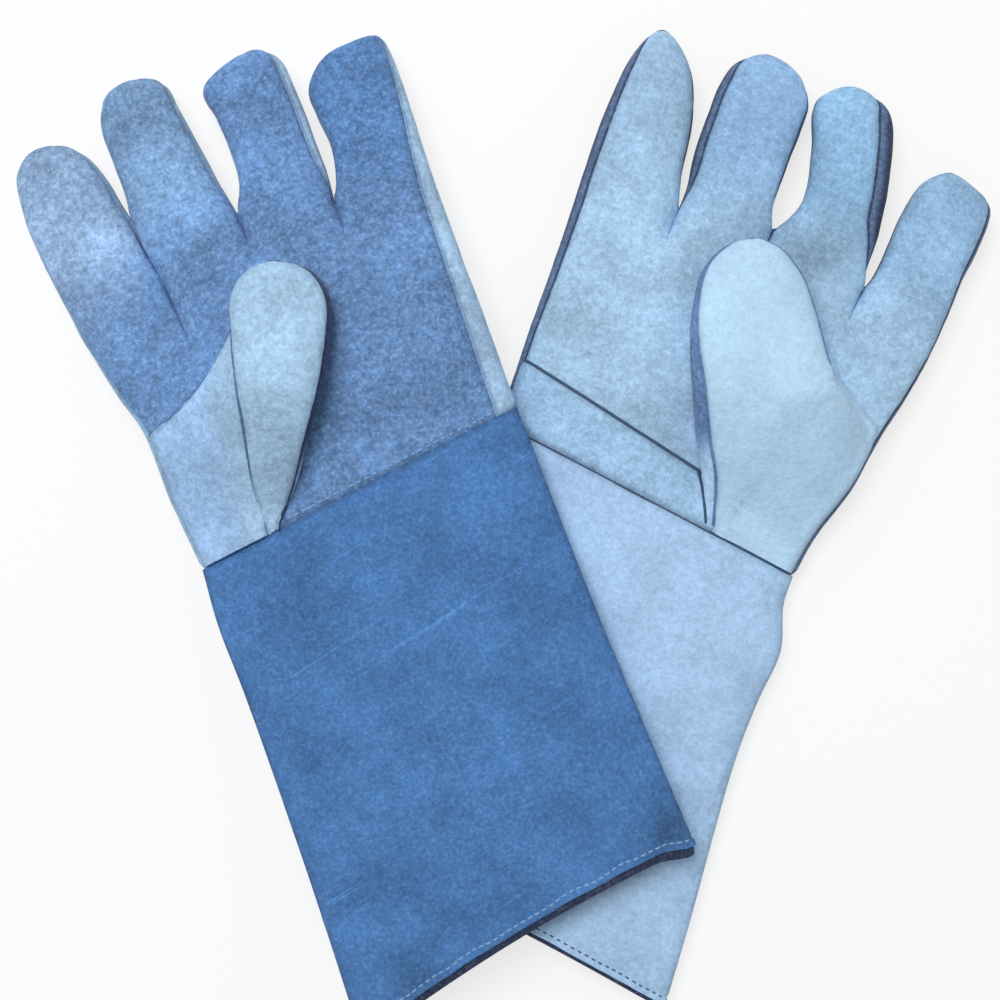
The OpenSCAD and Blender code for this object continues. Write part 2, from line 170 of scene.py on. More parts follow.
RIGHT = {
    "name": "right",
    # 1 for the right hand and -1 for the left one
    "way": 1,
    # height of the cuff's underside, slope of the hand, and place in the noise of the leather
    "height": 0.0,
    "fall": 0.0,
    "seed": 3.0,
    # half of the wrist seam, from its middle to its thumb end
    "wrist": np.array([63.0, -8.5]),
    # edge of the hand on the thumb side, from the wrist to the index finger
    "hand_thumb": [(63, -8.5), (65.8, 10), (71.7, 30), (75.3, 52), (79.7, 70), (82.5, 86)],
    # crotches, from the little finger's outer side to the index finger's outer side
    "roots": [(-64, 95), (-26, 107), (10.5, 112), (50.5, 103.2), (82.5, 86)],
    # each finger: outline up its little side, over its tip and down its thumb side, and the tip's place in it
    "little": ([(-64.6, 110), (-64.8, 130), (-63.6, 150), (-61.6, 160.3), (-58.9, 166.4), (-54.6, 169.4),
                (-49.6, 167.8), (-39.4, 158), (-34, 145.6), (-31, 132.5), (-29.3, 119)], 5),
    "ring": ([(-25.5, 116.6), (-27.4, 128.7), (-27.6, 144.6), (-27.3, 156.6), (-24.4, 167.1), (-14, 174.3),
              (0.5, 170.2), (6.8, 162.3), (7.4, 152), (6.8, 138), (7.9, 118)], 5),
    "middle": ([(17.6, 126), (14.2, 147), (9.4, 160.9), (10, 166.2), (20.2, 173.8),
                (31.9, 171.7), (38.8, 166), (45.2, 146), (48.4, 125.3), (48.9, 110)], 4),
    "index": ([(52.8, 110), (53.9, 123), (54.8, 135.9), (58.4, 149.4), (66.6, 155.9),
               (77, 153.4), (85, 148.3), (85.8, 132.3), (84.2, 118), (83.6, 98.8)], 4),
    # angle of each finger's seam: at the root and past it on the little side, the same on the thumb side,
    # and the share of the finger over which it changes
    "seams": {
        "little": (147, 143, 0, 12, 0.55), "ring": (180, 147, 0, 12, 0.28),
        "middle": (180, 188, 0, 60, 0.3), "index": (180, 187, 14, 24, 0.55),
    },
    # share of the palm at which the crease below each crotch begins
    "creases": (0.82, 0.82, 0.82),
    # places rubbed pale or soiled dark, some of them painted shade such as beside the thumb's foot: x, y,
    # radius and how much
    "wear_and_shade": ((26, 105, 10, -0.42), (11, 42, 9, -0.28), (-2, 76, 12, -0.16), (-52, 56, 11, -0.2)),
    # the thumb's free edge and its other edge, from the root to the tip
    "thumb_free": [(25.4, -3.1), (19, 10), (11, 22), (0.6, 42), (-6.4, 59), (-9.8, 73), (-10.6, 86),
                   (-5.5, 97), (3.5, 103.2)],
    "thumb_outer": [(33, -4.2), (36, 22), (41, 44), (50, 60), (42, 71), (33, 84.5), (23.5, 96),
                    (13.5, 102.4), (3.5, 103.2)],
    # point of the other edge at which the thumb leaves the hand
    "thumb_crotch": 3,
    # angle of the thumb's seam on its free side, at even steps from the root to the tip
    "thumb_seam": (112, 116, 132, 143, 155, 164, 167, 166),
    # line about which the thumb folds
    "crease": ((30, 0), (43, 70)),
    # angle at which the thumb's front passes into the gusset, at the root and at the crotch
    "thumb_end": (66, 46),
    # the gusset: its end on the side seam, the fall of its rim, its slope and swell, the bow of its rim,
    # how smoothly it leaves the thumb, and how ragged its rim is
    "gusset_top": 46.0,
    "gusset_fall": 8.0,
    "gusset_swell": (1.2, 1.5),
    "gusset_bow": 0.0,
    "gusset_flow": 1.0,
    "fray": 0.4,
    # two points of the seam above the wrist band
    "band_line": ((-60, 33.4), (14.6, 16.6)),
    # the cuff's two sides, from the wrist to the hem
    "cuff_little": [(-63, 8.5), (-67.5, -75), (-72, -161.7)],
    "cuff_thumb": [(63, -8.5), (63.4, -20), (68.4, -37), (66.8, -58), (66.4, -82), (71.5, -150),
                   (73.2, -178.8)],
    # the hem: its rise in the middle and on the little side, its row of stitches, its fold and its rolled lip
    "hem_bow": 3.0,
    "hem_tail": 0.0,
    "hem_row": 2.4,
    "hem_fold": 2.4,
    "hem_lip": 1.8,
    # how far in from the little side the seam with the back lies at the wrist
    "back_seam": 1.0,
    # how much too large the hand's leather is
    "slack": 0.02,
    "colours": {
        "palm": srgb(162, 197, 227), "little": srgb(157, 192, 224), "ring": srgb(140, 178, 218),
        "middle": srgb(141, 183, 220), "index": srgb(145, 183, 219), "thumb": srgb(184, 219, 246),
        # the gusset's colour is raised above its leather's, painted light on its slope that turns from the
        # lamp
        "gusset": srgb(184, 220, 249), "band": srgb(161, 199, 233), "cuff": srgb(170, 204, 239),
        # the right glove's dark thread also stands in for painted shadow in the wrist seam and the band's
        # seam
        "back": NAVY, "back_rim": srgb(98, 122, 160), "welt": srgb(52, 68, 98), "thread": srgb(50, 74, 104),
        # the thumb's back and welt are painted darker than its leather, painted shade on the thumb's side
        # wall
        "thumb_back": srgb(98, 130, 174), "thumb_welt": srgb(92, 126, 170),
    },
}
LEFT = {
    "name": "left",
    "way": -1,
    "height": CUFF_H + 0.6,
    "fall": 0.106,
    "seed": 41.0,
    "wrist": np.array([65.4, -8.5]),
    "hand_thumb": [(65.4, -8.5), (67.4, 20), (67.4, 40), (68.4, 49), (73.3, 64), (78.7, 86)],
    "roots": [(-65.3, 93), (-27.4, 104.5), (8.5, 113), (44, 101.8), (78.7, 86)],
    "little": ([(-65.6, 113.7), (-66.5, 138.2), (-66.2, 152.5), (-65.2, 157.6), (-61.5, 159), (-52, 159.2),
                (-39.8, 156.7), (-32, 148.4), (-32, 139.4), (-33.2, 125), (-30.7, 111.6)], 5),
    "ring": ([(-28.2, 119.3), (-27.7, 152.3), (-26, 163.6), (-21.3, 168.6), (-14, 169.5), (-4.6, 167.2),
              (5.4, 162.3), (3.9, 151), (3, 138), (4, 124.3)], 4),
    "middle": ([(11.6, 128), (16.5, 160), (18.4, 170), (27, 174.8),
                (39.8, 173.2), (45.9, 164.4), (46.4, 147.9), (46.4, 135), (47.2, 124), (46, 112)], 3),
    "index": ([(46.2, 112), (47.4, 124), (49.2, 133), (51, 142.2), (56.4, 155.3), (64, 161.2),
               (75.5, 162), (83, 155.3), (85.2, 140.3), (83.7, 118.6)], 5),
    "seams": {
        "little": (130, 172, 0, 10, 1.1), "ring": (180, 146, 0, 10, 0.28),
        "middle": (180, 166, 0, 12, 0.28), "index": (180, 168, 14, 12, 0.55),
    },
    "creases": (0.8, 0.8, 0.62),
    # places made paler or darker, as rubbed and soiled leather and as painted shade: x, y, radius and how
    # much
    "wear_and_shade": ((70, 156, 16, -0.24), (58, 111, 16, 0.24), (26, 120, 15, 0.36), (-66, -157, 9, -0.35),
             (43, -174, 10, -0.25), (40, -31, 17, -0.16), (29, 168, 14, -0.28), (38, 156, 6, -0.25)),
    "thumb_free": [(32.4, -4), (20, 9.2), (9, 23.6), (-1.8, 38.2), (-11.2, 55.8), (-14.6, 67), (-11.4, 79.4),
                   (-0.6, 87.2)],
    "thumb_outer": [(38, -4.8), (36, 13.3), (30.9, 34.4), (26.5, 53.5), (22.4, 68.5), (20.3, 76.5),
                    (15.5, 83.4), (8.5, 87.2), (-0.6, 87.2)],
    "thumb_crotch": 4,
    "thumb_seam": (160, 166, 166, 166),
    "crease": ((33, -2), (20, 70)),
    "thumb_end": (24, 10),
    "gusset_top": 42.5,
    "gusset_fall": 1.5,
    "gusset_swell": (0.8, 2.5),
    "gusset_bow": 3.5,
    "gusset_flow": 0.0,
    "fray": 1.3,
    "cuff_little": [(-65.4, 8.5), (-67.5, -75), (-72, -167)],
    "cuff_thumb": [(65.4, -8.5), (67, -30), (66.5, -60), (67.4, -130), (69.5, -191)],
    "hem_bow": 4.5,
    "hem_tail": 3.5,
    "hem_row": 2.8,
    "hem_fold": 3.0,
    "hem_lip": 3.2,
    "back_seam": 8.0,
    "slack": 0.03,
    "colours": {
        "palm": srgb(97, 135, 184), "little": srgb(84, 126, 179), "ring": srgb(101, 141, 193),
        "middle": srgb(119, 156, 198), "index": srgb(141, 173, 211), "thumb": srgb(158, 192, 221),
        "gusset": srgb(153, 190, 232), "cuff": srgb(72, 119, 176),
        "back": srgb(160, 193, 224), "back_rim": srgb(160, 193, 224), "welt": srgb(128, 162, 200),
        # the thumb's back and welt are near navy, painted shade for the dark shadow along the thumb's free
        # edge
        "thread": srgb(142, 175, 214), "thumb_back": srgb(44, 62, 104), "thumb_welt": srgb(38, 52, 88),
        # colour of the dark pipings in the thumb's crease and along the gusset's rim, partly painted shade
        "crease": srgb(84, 116, 160),
    },
}


def mix(a, b, t):
    return a + (b - a) * t


def smooth(t):
    """A share from 0 to 1 that eases in and out."""
    t = np.clip(t, 0, 1)
    return t * t * (3 - 2 * t)


def hill(distance, width):
    """1 at no distance, falling to 0 past a width."""
    return np.exp(-((distance / width) ** 2))


def soft_max(a, b, ease):
    """The larger of two fields, with a rounded change from one to the other."""
    return (a + b + np.sqrt((a - b) ** 2 + ease)) / 2


def across(angle):
    """Sideways share of a flattened round section at an angle in degrees, 1 on the thumb side."""
    c = np.cos(np.radians(angle))
    return np.sign(c) * np.abs(c) ** (2 / PLUMP)


def up(angle):
    """Upward share of a flattened round section, 1 on top and flattened to -1 below."""
    s = np.sin(np.radians(angle))
    rise = np.abs(s) ** (2 / PLUMP)
    return np.where(s < 0, -flattened(rise), rise)


def flattened(depth):
    """A depth from 0 to 1 that comes close to 1 early and stays there."""
    deep = 1.12 * depth
    return 1.042 * deep / (1 + deep ** 8) ** 0.125


def side_height(c):
    """Upward share of a flattened round section at a sideways share c."""
    return (1 - np.clip(np.abs(c), 0, 1) ** PLUMP) ** (1 / PLUMP)


def full_turn(cols):
    """Angles once round a section, from its little side over the top."""
    return (180 - 360 * np.linspace(0, 1, cols + 1)[:-1])[None, :]


def section_points(middle, half, level, height, angle):
    """Points of flattened round sections at angles in degrees, a row for each section."""
    spot = middle[:, None, :] + half[:, None, :] * across(angle)[..., None]
    return np.dstack([spot, level[:, None] + height[:, None] * up(angle)])


def shrunk(half, height, inset, least):
    """Half widths and half heights of sections, smaller by an inset."""
    width = np.linalg.norm(half, axis=1)
    share = np.maximum(0.05, 1 - inset / np.maximum(width, 1e-6))
    return half * share[:, None], np.maximum(least, height - inset)


def curve(points):
    """A smooth path through points (centripetal Catmull-Rom)."""
    p = np.array(points, float)
    p = np.vstack([2 * p[0] - p[1], p, 2 * p[-1] - p[-2]])
    path = []
    for k in range(1, len(p) - 2):
        a, b, c, d = p[k - 1:k + 3]
        t0 = 0.0
        t1 = t0 + math.sqrt(np.linalg.norm(b - a))
        t2 = t1 + math.sqrt(np.linalg.norm(c - b))
        t3 = t2 + math.sqrt(np.linalg.norm(d - c))
        t = np.linspace(t1, t2, CURVE_STEPS, endpoint=False)[:, None]
        ab = mix(a, b, (t - t0) / (t1 - t0))
        bc = mix(b, c, (t - t1) / (t2 - t1))
        cd = mix(c, d, (t - t2) / (t3 - t2))
        abc = mix(ab, bc, (t - t0) / (t2 - t0))
        bcd = mix(bc, cd, (t - t1) / (t3 - t1))
        path.append(mix(abc, bcd, (t - t1) / (t2 - t1)))
    path.append(p[-2][None, :])
    return np.vstack(path)


def refine_line(values, shares):
    """A smooth line through evenly spaced values, read at shares of its length."""
    steps = np.linspace(0, 1, len(values))
    path = curve(np.column_stack([steps, values]))
    return np.interp(shares, path[:, 0], path[:, 1])


def read_line(at, known, points):
    """Points of a line, read at values of something known along it."""
    return np.stack([np.interp(at, known, points[:, k]) for k in range(points.shape[1])], axis=-1)


def along(path, shares):
    """Points at shares of a path's length."""
    step = np.linalg.norm(np.diff(path, axis=0), axis=1)
    run = np.concatenate([[0], np.cumsum(step)])
    return read_line(shares, run / run[-1], path)


def lay(glove, points):
    """Millimetres in a glove's frame to metres in the pair's frame."""
    p = np.asarray(points, float)
    way = glove["way"]
    q = p[..., 1] + SLANT * p[..., 0]
    slope = np.where(q < SLOPE_START, q * q / (2 * SLOPE_START), q - SLOPE_START / 2)
    drop = np.where(q < 0, 0, slope) * glove["fall"]
    turn = -SPLAY * way
    x = p[..., 0] * way
    y = p[..., 1]
    return MM * np.stack([
        x * math.cos(turn) - y * math.sin(turn) + WRIST_PITCH / 2 * way + CENTRE[0],
        x * math.sin(turn) + y * math.cos(turn) - WRIST_STEP / 2 * way + CENTRE[1],
        p[..., 2] + glove["height"] - drop,
    ], axis=-1)


def ripple(glove, points, size):
    """Smooth noise from -1 to 1 over a field of points, with features of about a size in millimetres."""
    flat = points.reshape(-1, 3) / size + glove["seed"]
    values = [noise.noise(Vector(p)) for p in flat]
    return np.array(values).reshape(points.shape[:-1])


def normals(grid, sign):
    """Unit normals of a grid of points."""
    n = np.cross(np.gradient(grid, axis=1), np.gradient(grid, axis=0)) * sign
    size = np.linalg.norm(n, axis=-1, keepdims=True)
    n = np.where(size > 1e-6, n / np.maximum(size, 1e-6), 0)
    for row in range(1, len(n)):
        empty = np.linalg.norm(n[row], axis=-1) < 0.5
        n[row][empty] = n[row - 1][empty]
    return n


def raised(grid, sign, height):
    """A grid moved out along its normals."""
    return grid + normals(grid, sign) * np.asarray(height)[..., None]


def edge_distance(grid, sides):
    """How far each point of a grid is from the named sides: L and R columns, B and T rows."""
    far = np.full(grid.shape[:2], FAR)
    for side in sides:
        axis = 1 if side in "LR" else 0
        way = -1 if side in "RT" else 1
        lines = grid.swapaxes(0, axis)[::way]
        steps = np.linalg.norm(np.diff(lines, axis=0), axis=-1)
        run = np.vstack([np.zeros((1, lines.shape[1])), np.cumsum(steps, axis=0)])
        far = np.minimum(far, run[::way].swapaxes(0, axis))
    return far


def dress(glove, grid, sign, seams, calm=1.0, inward=False, fade=""):
    """Adds the leather's swells and wrinkles and the dip along its seams, fading towards some sides."""
    swell = calm * sum(height * ripple(glove, grid, size) for size, height in SWELLS)
    if inward:
        swell = -np.abs(swell)
    far = edge_distance(grid, seams)
    size, height, reach = PUCKER
    pucker = height * ripple(glove, grid, size) * hill(far, reach)
    dip = sum(height * hill(far - place, width) for height, place, width in SEAM_FORM)
    return raised(grid, sign, (swell + pucker + dip) * smooth(edge_distance(grid, fade) / SEAM_FADE))


def number_grid(rows, cols):
    return np.arange(rows * cols).reshape(rows, cols)


def grid_faces(numbers):
    """Faces between the points of a grid, given as a table of point numbers."""
    corners = [numbers[:-1, :-1], numbers[1:, :-1], numbers[1:, 1:], numbers[:-1, 1:]]
    return np.stack(corners, axis=-1).reshape(-1, 4).tolist()


def add_object(name, data):
    """A new object in the scene."""
    thing = bpy.data.objects.new(name, data)
    bpy.context.scene.collection.objects.link(thing)
    return thing


def drape(points, faces, held, slack):
    """How far a sheet of leather buckles between its seams, by a cloth simulation of a larger sheet."""
    mesh = bpy.data.meshes.new("drape")
    mesh.from_pydata((points * MM).tolist(), [], faces)
    panel = add_object("drape", mesh)
    panel.vertex_groups.new(name="seams").add(np.unique(held).tolist(), 1.0, "REPLACE")
    cloth = panel.modifiers.new("cloth", "CLOTH")
    cloth.settings.vertex_group_mass = "seams"
    cloth.settings.bending_stiffness = 5.0
    cloth.settings.shrink_min = -slack
    cloth.settings.shrink_max = -slack
    cloth.settings.effector_weights.gravity = 0.0
    cloth.collision_settings.use_collision = False
    cloth.point_cache.frame_end = DRAPE_FRAMES
    for frame_number in range(1, DRAPE_FRAMES + 1):
        bpy.context.scene.frame_set(frame_number)
    result = panel.evaluated_get(bpy.context.evaluated_depsgraph_get()).data.vertices
    moved = np.empty(3 * len(points), np.float32)
    result.foreach_get("co", moved)
    bpy.data.objects.remove(panel)
    bpy.data.meshes.remove(mesh)
    bpy.context.scene.frame_set(1)
    return moved.reshape(-1, 3) / MM - points


def refine(values, step):
    """Smooth in-between rows of a coarse table."""
    p = np.vstack([2 * values[:1] - values[1:2], values, 2 * values[-1:] - values[-2:-1]])
    a, b, c, d = p[:-3], p[1:-2], p[2:-1], p[3:]
    parts = []
    for t in np.arange(step) / step:
        bend = 2 * a - 5 * b + 4 * c - d
        parts.append(b + 0.5 * t * (c - a + t * (bend + t * (3 * (b - c) + d - a))))
    fine = np.stack(parts, axis=1).reshape(-1, values.shape[1])
    return np.vstack([fine, values[-1:]])


def lifted(grid, sign, steps, moved, most):
    """A grid raised by the movement of its coarse points, at most so far out and in."""
    coarse = grid[::steps[0], ::steps[1]]
    rise = np.sum(moved * normals(coarse, sign), axis=-1)
    rise = np.where(rise > 0, most[0] * np.tanh(rise / most[0]), most[1] * np.tanh(rise / most[1]))
    return raised(grid, sign, refine(refine(rise, steps[0]).T, steps[1]).T)


def settle(grid, sign, slack, most):
    """Buckles one panel that is held all round."""
    coarse = grid[::PANEL_STEPS[0], ::PANEL_STEPS[1]]
    numbers = number_grid(*coarse.shape[:2])
    held = np.concatenate([numbers[0], numbers[-1], numbers[:, 0], numbers[:, -1]])
    moved = drape(coarse.reshape(-1, 3), grid_faces(numbers), held, slack)
    return lifted(grid, sign, PANEL_STEPS, moved.reshape(coarse.shape), most)


def settle_hand(palm, fronts, slack):
    """Buckles the palm and the fronts of the fingers as one hide, held at the seams round it."""
    step = HAND_STEP
    coarse = palm[::step, ::step]
    numbers = number_grid(*coarse.shape[:2])
    points = [coarse.reshape(-1, 3)]
    faces = grid_faces(numbers)
    held = [numbers[0], numbers[:, 0], numbers[:, -1]]
    tables = []
    count = numbers.size
    span = FINGER_COLS // step
    for i, front in enumerate(fronts):
        part = front[step::step, ::step]
        rest = count + number_grid(*part.shape[:2])
        table = np.vstack([numbers[-1, i * span:(i + 1) * span + 1], rest])
        points.append(part.reshape(-1, 3))
        faces += grid_faces(table)
        held += [table[:, 0], table[:, -1], table[-1]]
        tables.append(table)
        count += rest.size
    moved = drape(np.vstack(points), faces, np.concatenate(held), slack)
    hide = [
        lifted(part, 1, (step, step), moved[table], HAND_BUCKLE)
        for part, table in zip([palm] + fronts, [numbers] + tables)
    ]
    return hide[0], hide[1:]


def sheet_faces(rows, cols, round_about):
    """Faces of a sheet with an outer grid, an inner grid and rims between them."""
    outer = number_grid(rows, cols)
    if round_about:
        outer = np.hstack([outer, outer[:, :1]])
    inner = outer + rows * cols
    faces = grid_faces(outer.T) + grid_faces(inner)
    rims = [np.stack([outer[0], inner[0]]), np.stack([outer[-1], inner[-1]]).T]
    if not round_about:
        rims += [np.stack([outer[:, 0], inner[:, 0]]).T, np.stack([outer[:, -1], inner[:, -1]])]
    for rim in rims:
        faces += grid_faces(rim)
    return faces


def sheet(grid, sign, thick, tint, round_about=False):
    """Points, faces, resting places and colours of an even sheet whose outer face is a grid of points."""
    skin = np.vstack([grid.reshape(-1, 3)] * 2)
    shade = np.vstack([np.broadcast_to(tint, grid.shape).reshape(-1, 3)] * 2)
    points = np.concatenate([grid, raised(grid, sign, -thick)]).reshape(-1, 3)
    return points, sheet_faces(*grid.shape[:2], round_about), skin, shade


def seam_shade(grid, seams, tint, depth=0.3):
    """Darkens a colour along the seams of a sheet."""
    dark = depth * hill(edge_distance(grid, seams), SEAM_SHADE)
    return np.broadcast_to(tint, grid.shape) * (1 - dark)[..., None]


def tube_mesh(path, radius, sides=8):
    """Points and faces of a round tube along a path, closed at both ends."""
    tangent = np.gradient(path, axis=0)
    tangent /= np.maximum(np.linalg.norm(tangent, axis=1, keepdims=True), 1e-9)
    side = np.cross(tangent, [0.0, 0.0, 1.0])
    side /= np.maximum(np.linalg.norm(side, axis=1, keepdims=True), 1e-9)
    rise = np.cross(side, tangent)
    girth = np.broadcast_to(radius, (len(path),))[:, None]
    turns = np.linspace(0, 2 * math.pi, sides, endpoint=False)
    rings = [path + girth * (math.cos(a) * side + math.sin(a) * rise) for a in turns]
    numbers = number_grid(len(path), sides)
    faces = grid_faces(np.hstack([numbers, numbers[:, :1]]).T)
    faces += [numbers[0, ::-1].tolist(), numbers[-1].tolist()]
    return np.stack(rings, axis=1).reshape(-1, 3), faces


def tubes(parts, tint):
    """Points, faces, resting places and colour of several tubes."""
    faces = []
    count = 0
    for part_points, part_faces in parts:
        faces += [[k + count for k in face] for face in part_faces]
        count += len(part_points)
    points = np.vstack([part_points for part_points, part_faces in parts])
    return points, faces, points, tint


def piping(paths, radius, tint):
    """Rolled welts or threads along one or more paths."""
    return tubes([tube_mesh(path, radius) for path in paths], tint)


def stitches(path, pitch, length, radius, sink, tint):
    """A row of sewn stitches along a path that lies on the leather."""
    total = np.linalg.norm(np.diff(path, axis=0), axis=1).sum()
    parts = []
    for k in range(int(total / pitch)):
        start = (k + 0.2) * pitch
        piece = along(path, np.linspace(start, start + length, 5) / total)
        piece[:, 2] += radius * np.array([-0.9, 0.5, 0.8, 0.5, -0.9]) - sink
        parts.append(tube_mesh(piece, radius * np.array([0.6, 1, 1.05, 1, 0.6]), 6))
    return tubes(parts, tint)


def hand_height(share):
    """Height of the hand from the wrist seam to the crotches."""
    rising = mix(CUFF_H, PALM_H, smooth(share / 0.5))
    falling = mix(PALM_H, FINGER_H, smooth((share - 0.5) / 0.5))
    return np.where(share < 0.5, rising, falling)


def palm_level(x, y):
    """Height of the palm's upper face, without its swells."""
    share = np.clip((y + SLANT * x) / PALM_LEN, 0, 1)
    side = np.abs(x - mix(0, 8, share)) / mix(63, 72, share)
    return hand_height(share) / 2 * (1 + side_height(side))


def palm_tree(palm):
    """The palm's upper face, ready to be met from above."""
    return BVHTree.FromPolygons(palm.reshape(-1, 3).tolist(), grid_faces(number_grid(*palm.shape[:2]).T))


def palm_top(tree, plan):
    """Height of the palm at plan points, or of its nearest edge."""
    heights = []
    for x, y in plan.reshape(-1, 2):
        hit = tree.ray_cast(Vector((x, y, 2 * PALM_H)), Vector((0, 0, -1)))[0]
        if hit is None:
            hit = tree.find_nearest(Vector((x, y, PALM_H / 2)))[0]
        heights.append(hit.z)
    return np.array(heights).reshape(plan.shape[:-1])


def lay_on_palm(tree, grid):
    """Raises the points of a grid that lie too near the palm."""
    grid[..., 2] = soft_max(grid[..., 2], palm_top(tree, grid[..., :2]) + THUMB_REST, 0.6)


def finger_edges(glove, finger):
    """The two side edges of a finger, from its root to its tip, as rows of points."""
    i = FINGERS.index(finger)
    outline, tip = glove[finger]
    roots = glove["roots"]
    path = curve([roots[i]] + outline + [roots[i + 1]])
    split = (tip + 1) * CURVE_STEPS
    shares = 1 - (1 - np.linspace(0, 1, FINGER_ROWS + 1)) ** FINGER_CROWDING
    return along(path[:split + 1], shares), along(path[split:][::-1], shares), shares


def finger_grid(glove, finger, front, inset=0.0, cols=FINGER_COLS):
    """Outer points of a finger's front or back leather, or of the whole finger where front is None."""
    left, right, shares = finger_edges(glove, finger)
    half = (right - left) / 2
    height = FINGER_H / 2 * np.minimum(1, np.linalg.norm(half, axis=1) / FINGER_FULL) ** 0.75
    little_root, little, thumb_root, thumb, change = glove["seams"][finger]
    opening = smooth(shares / change)
    closing = 0.85 * smooth((shares - 0.72) / 0.28)
    start = mix(mix(little_root, little, opening), 180, closing)
    stop = mix(mix(thumb_root, thumb, opening), 0, closing)
    level = FINGER_H / 2 + (FINGER_H / 2 - height) * (up(start) + up(stop)) / 2
    if inset:
        half, height = shrunk(half, height, inset, 0.3)
    turn = np.linspace(0, 1, cols + 1)
    if front is None:
        angle = full_turn(cols)
    elif front:
        angle = start[:, None] + (stop - start)[:, None] * turn
    else:
        wrap = np.linspace(0, 1, WRAP_COLS, endpoint=False)
        side = np.maximum(start, 180)
        first = start[:, None] + (side - start)[:, None] * wrap
        under = side[:, None] + (360 - side)[:, None] * turn
        last = 360 + stop[:, None] * (1 - wrap[::-1])
        angle = np.hstack([first, under, last])
    return section_points((right + left) / 2, half, level, height, angle)


def hand_grid(glove, front):
    """Outer points of the palm or of the back of the hand, from the wrist seam to the crotches."""
    roots = np.array(glove["roots"], float)
    wrist = glove["wrist"]
    wrist_little = 180 - math.degrees(math.acos((1 - glove["back_seam"] / wrist[0]) ** (PLUMP / 2)))
    thumb_seam = glove["seams"]["index"][2]
    little_seam = glove["seams"]["little"][0]

    def at_root(i, angle):
        """Plan points and upward shares across a finger's root."""
        middle = (roots[i] + roots[i + 1]) / 2
        half = (roots[i + 1] - roots[i]) / 2
        return np.column_stack([middle + half * across(angle)[:, None], up(angle)])

    def at_wrist(angle):
        """The same across the wrist seam."""
        return np.column_stack([wrist * across(angle)[:, None], up(angle)])

    turn = np.linspace(0, 1, FINGER_COLS + 1)
    tops = []
    for i in range(4):
        start = little_seam if front and i == 0 else 180
        stop = thumb_seam if front and i == 3 else 0
        angle = start + (stop - start) * turn if front else 180 + 180 * turn
        tops.append(at_root(i, angle)[min(i, 1):])
    top = np.vstack(tops)
    share = np.linspace(0, 1, len(top))
    if front:
        edge = mix(across(wrist_little), across(thumb_seam), share)
        bottom = np.column_stack([wrist * edge[:, None], side_height(edge)])
    else:
        edge = mix(2 * share - 1, -np.cos(math.pi * share), 0.5)
        bottom = np.column_stack([wrist * edge[:, None], -flattened(side_height(edge))])
        wrap = np.linspace(0, 1, WRAP_COLS, endpoint=False)
        last = 360 + thumb_seam * (1 - wrap[::-1])
        top = np.vstack([at_root(0, mix(little_seam, 180, wrap)), top, at_root(3, last)])
        bottom = np.vstack([at_wrist(mix(wrist_little, 180, wrap)), bottom, at_wrist(last)])
    share = np.linspace(0, 1, len(top))
    v = np.linspace(0, 1, HAND_ROWS + 1)[:, None]
    plan = mix(bottom[None, :, :2], top[None, :, :2], v[..., None])
    bend = along(curve(glove["hand_thumb"]), v[:, 0]) - mix(wrist, roots[4], v)
    plan = plan + bend[:, None, :] * smooth((share - 0.6) / 0.4)[None, :, None]
    begin = 0.6
    if front:
        begin = np.interp(4 * share, range(5), [0.6, *glove["creases"], 0.6])
    lift = mix(bottom[None, :, 2], top[None, :, 2], smooth((v - begin) / (1 - begin)))
    return np.dstack([plan, hand_height(v) / 2 * (1 + lift)])


def finger_part(row, i, skip=0):
    """The part of a row along the crotches that belongs to one finger."""
    first = skip + i * FINGER_COLS
    return row[first:first + FINGER_COLS + 1]


def hand_tint(glove, share):
    """The palm's colour at a share of its length, passing into each finger's own near the crotches."""
    colours = glove["colours"]
    heads = np.array([colours[finger] for finger in FINGERS])
    place = np.arange(4 * FINGER_COLS + 1) / FINGER_COLS - 0.5
    low = np.clip(np.floor(place), 0, 2).astype(int)
    heads = mix(heads[low], heads[low + 1], smooth(place - low)[:, None])
    return mix(colours["palm"], heads, smooth((share - 0.85) / 0.6))


def finger_tint(glove, front, i):
    """A finger's colour, starting at its root with what the palm passes on."""
    share = np.linspace(0, 1, front.shape[0])[:, None, None]
    root = finger_part(hand_tint(glove, 1.0), i)
    return mix(root, glove["colours"][FINGERS[i]], smooth((share + 0.05) / 0.35))


def worn_and_shaded(glove, grid, tint):
    """A colour with the glove's rubbed and soiled places, and the painted shade among them."""
    shade = np.ones(grid.shape[:2])
    for x, y, radius, much in glove["wear_and_shade"]:
        shade += much * hill(np.hypot(grid[..., 0] - x, grid[..., 1] - y), radius)
    return tint * shade[..., None]


def back_tint(glove, grid):
    """The back's colour, which on the right glove is paler next to its seams and darkens to navy away from
    them, painted shade on the sides that turn from the light.
    """
    far = edge_distance(grid, "LR")[..., None]
    return mix(glove["colours"]["back_rim"], glove["colours"]["back"], smooth((far - 1) / 4))


def thumb_edges(glove):
    """The thumb's free edge and its other edge, with the share of its length where it leaves the hand."""
    outer = curve(glove["thumb_outer"])
    rows = 1 - (1 - np.linspace(0, 1, THUMB_ROWS + 1)) ** THUMB_CROWDING
    lengths = np.linalg.norm(np.diff(outer, axis=0), axis=1)
    crotch = lengths[:glove["thumb_crotch"] * CURVE_STEPS].sum() / lengths.sum()
    return along(curve(glove["thumb_free"]), rows), along(outer, rows), rows, crotch


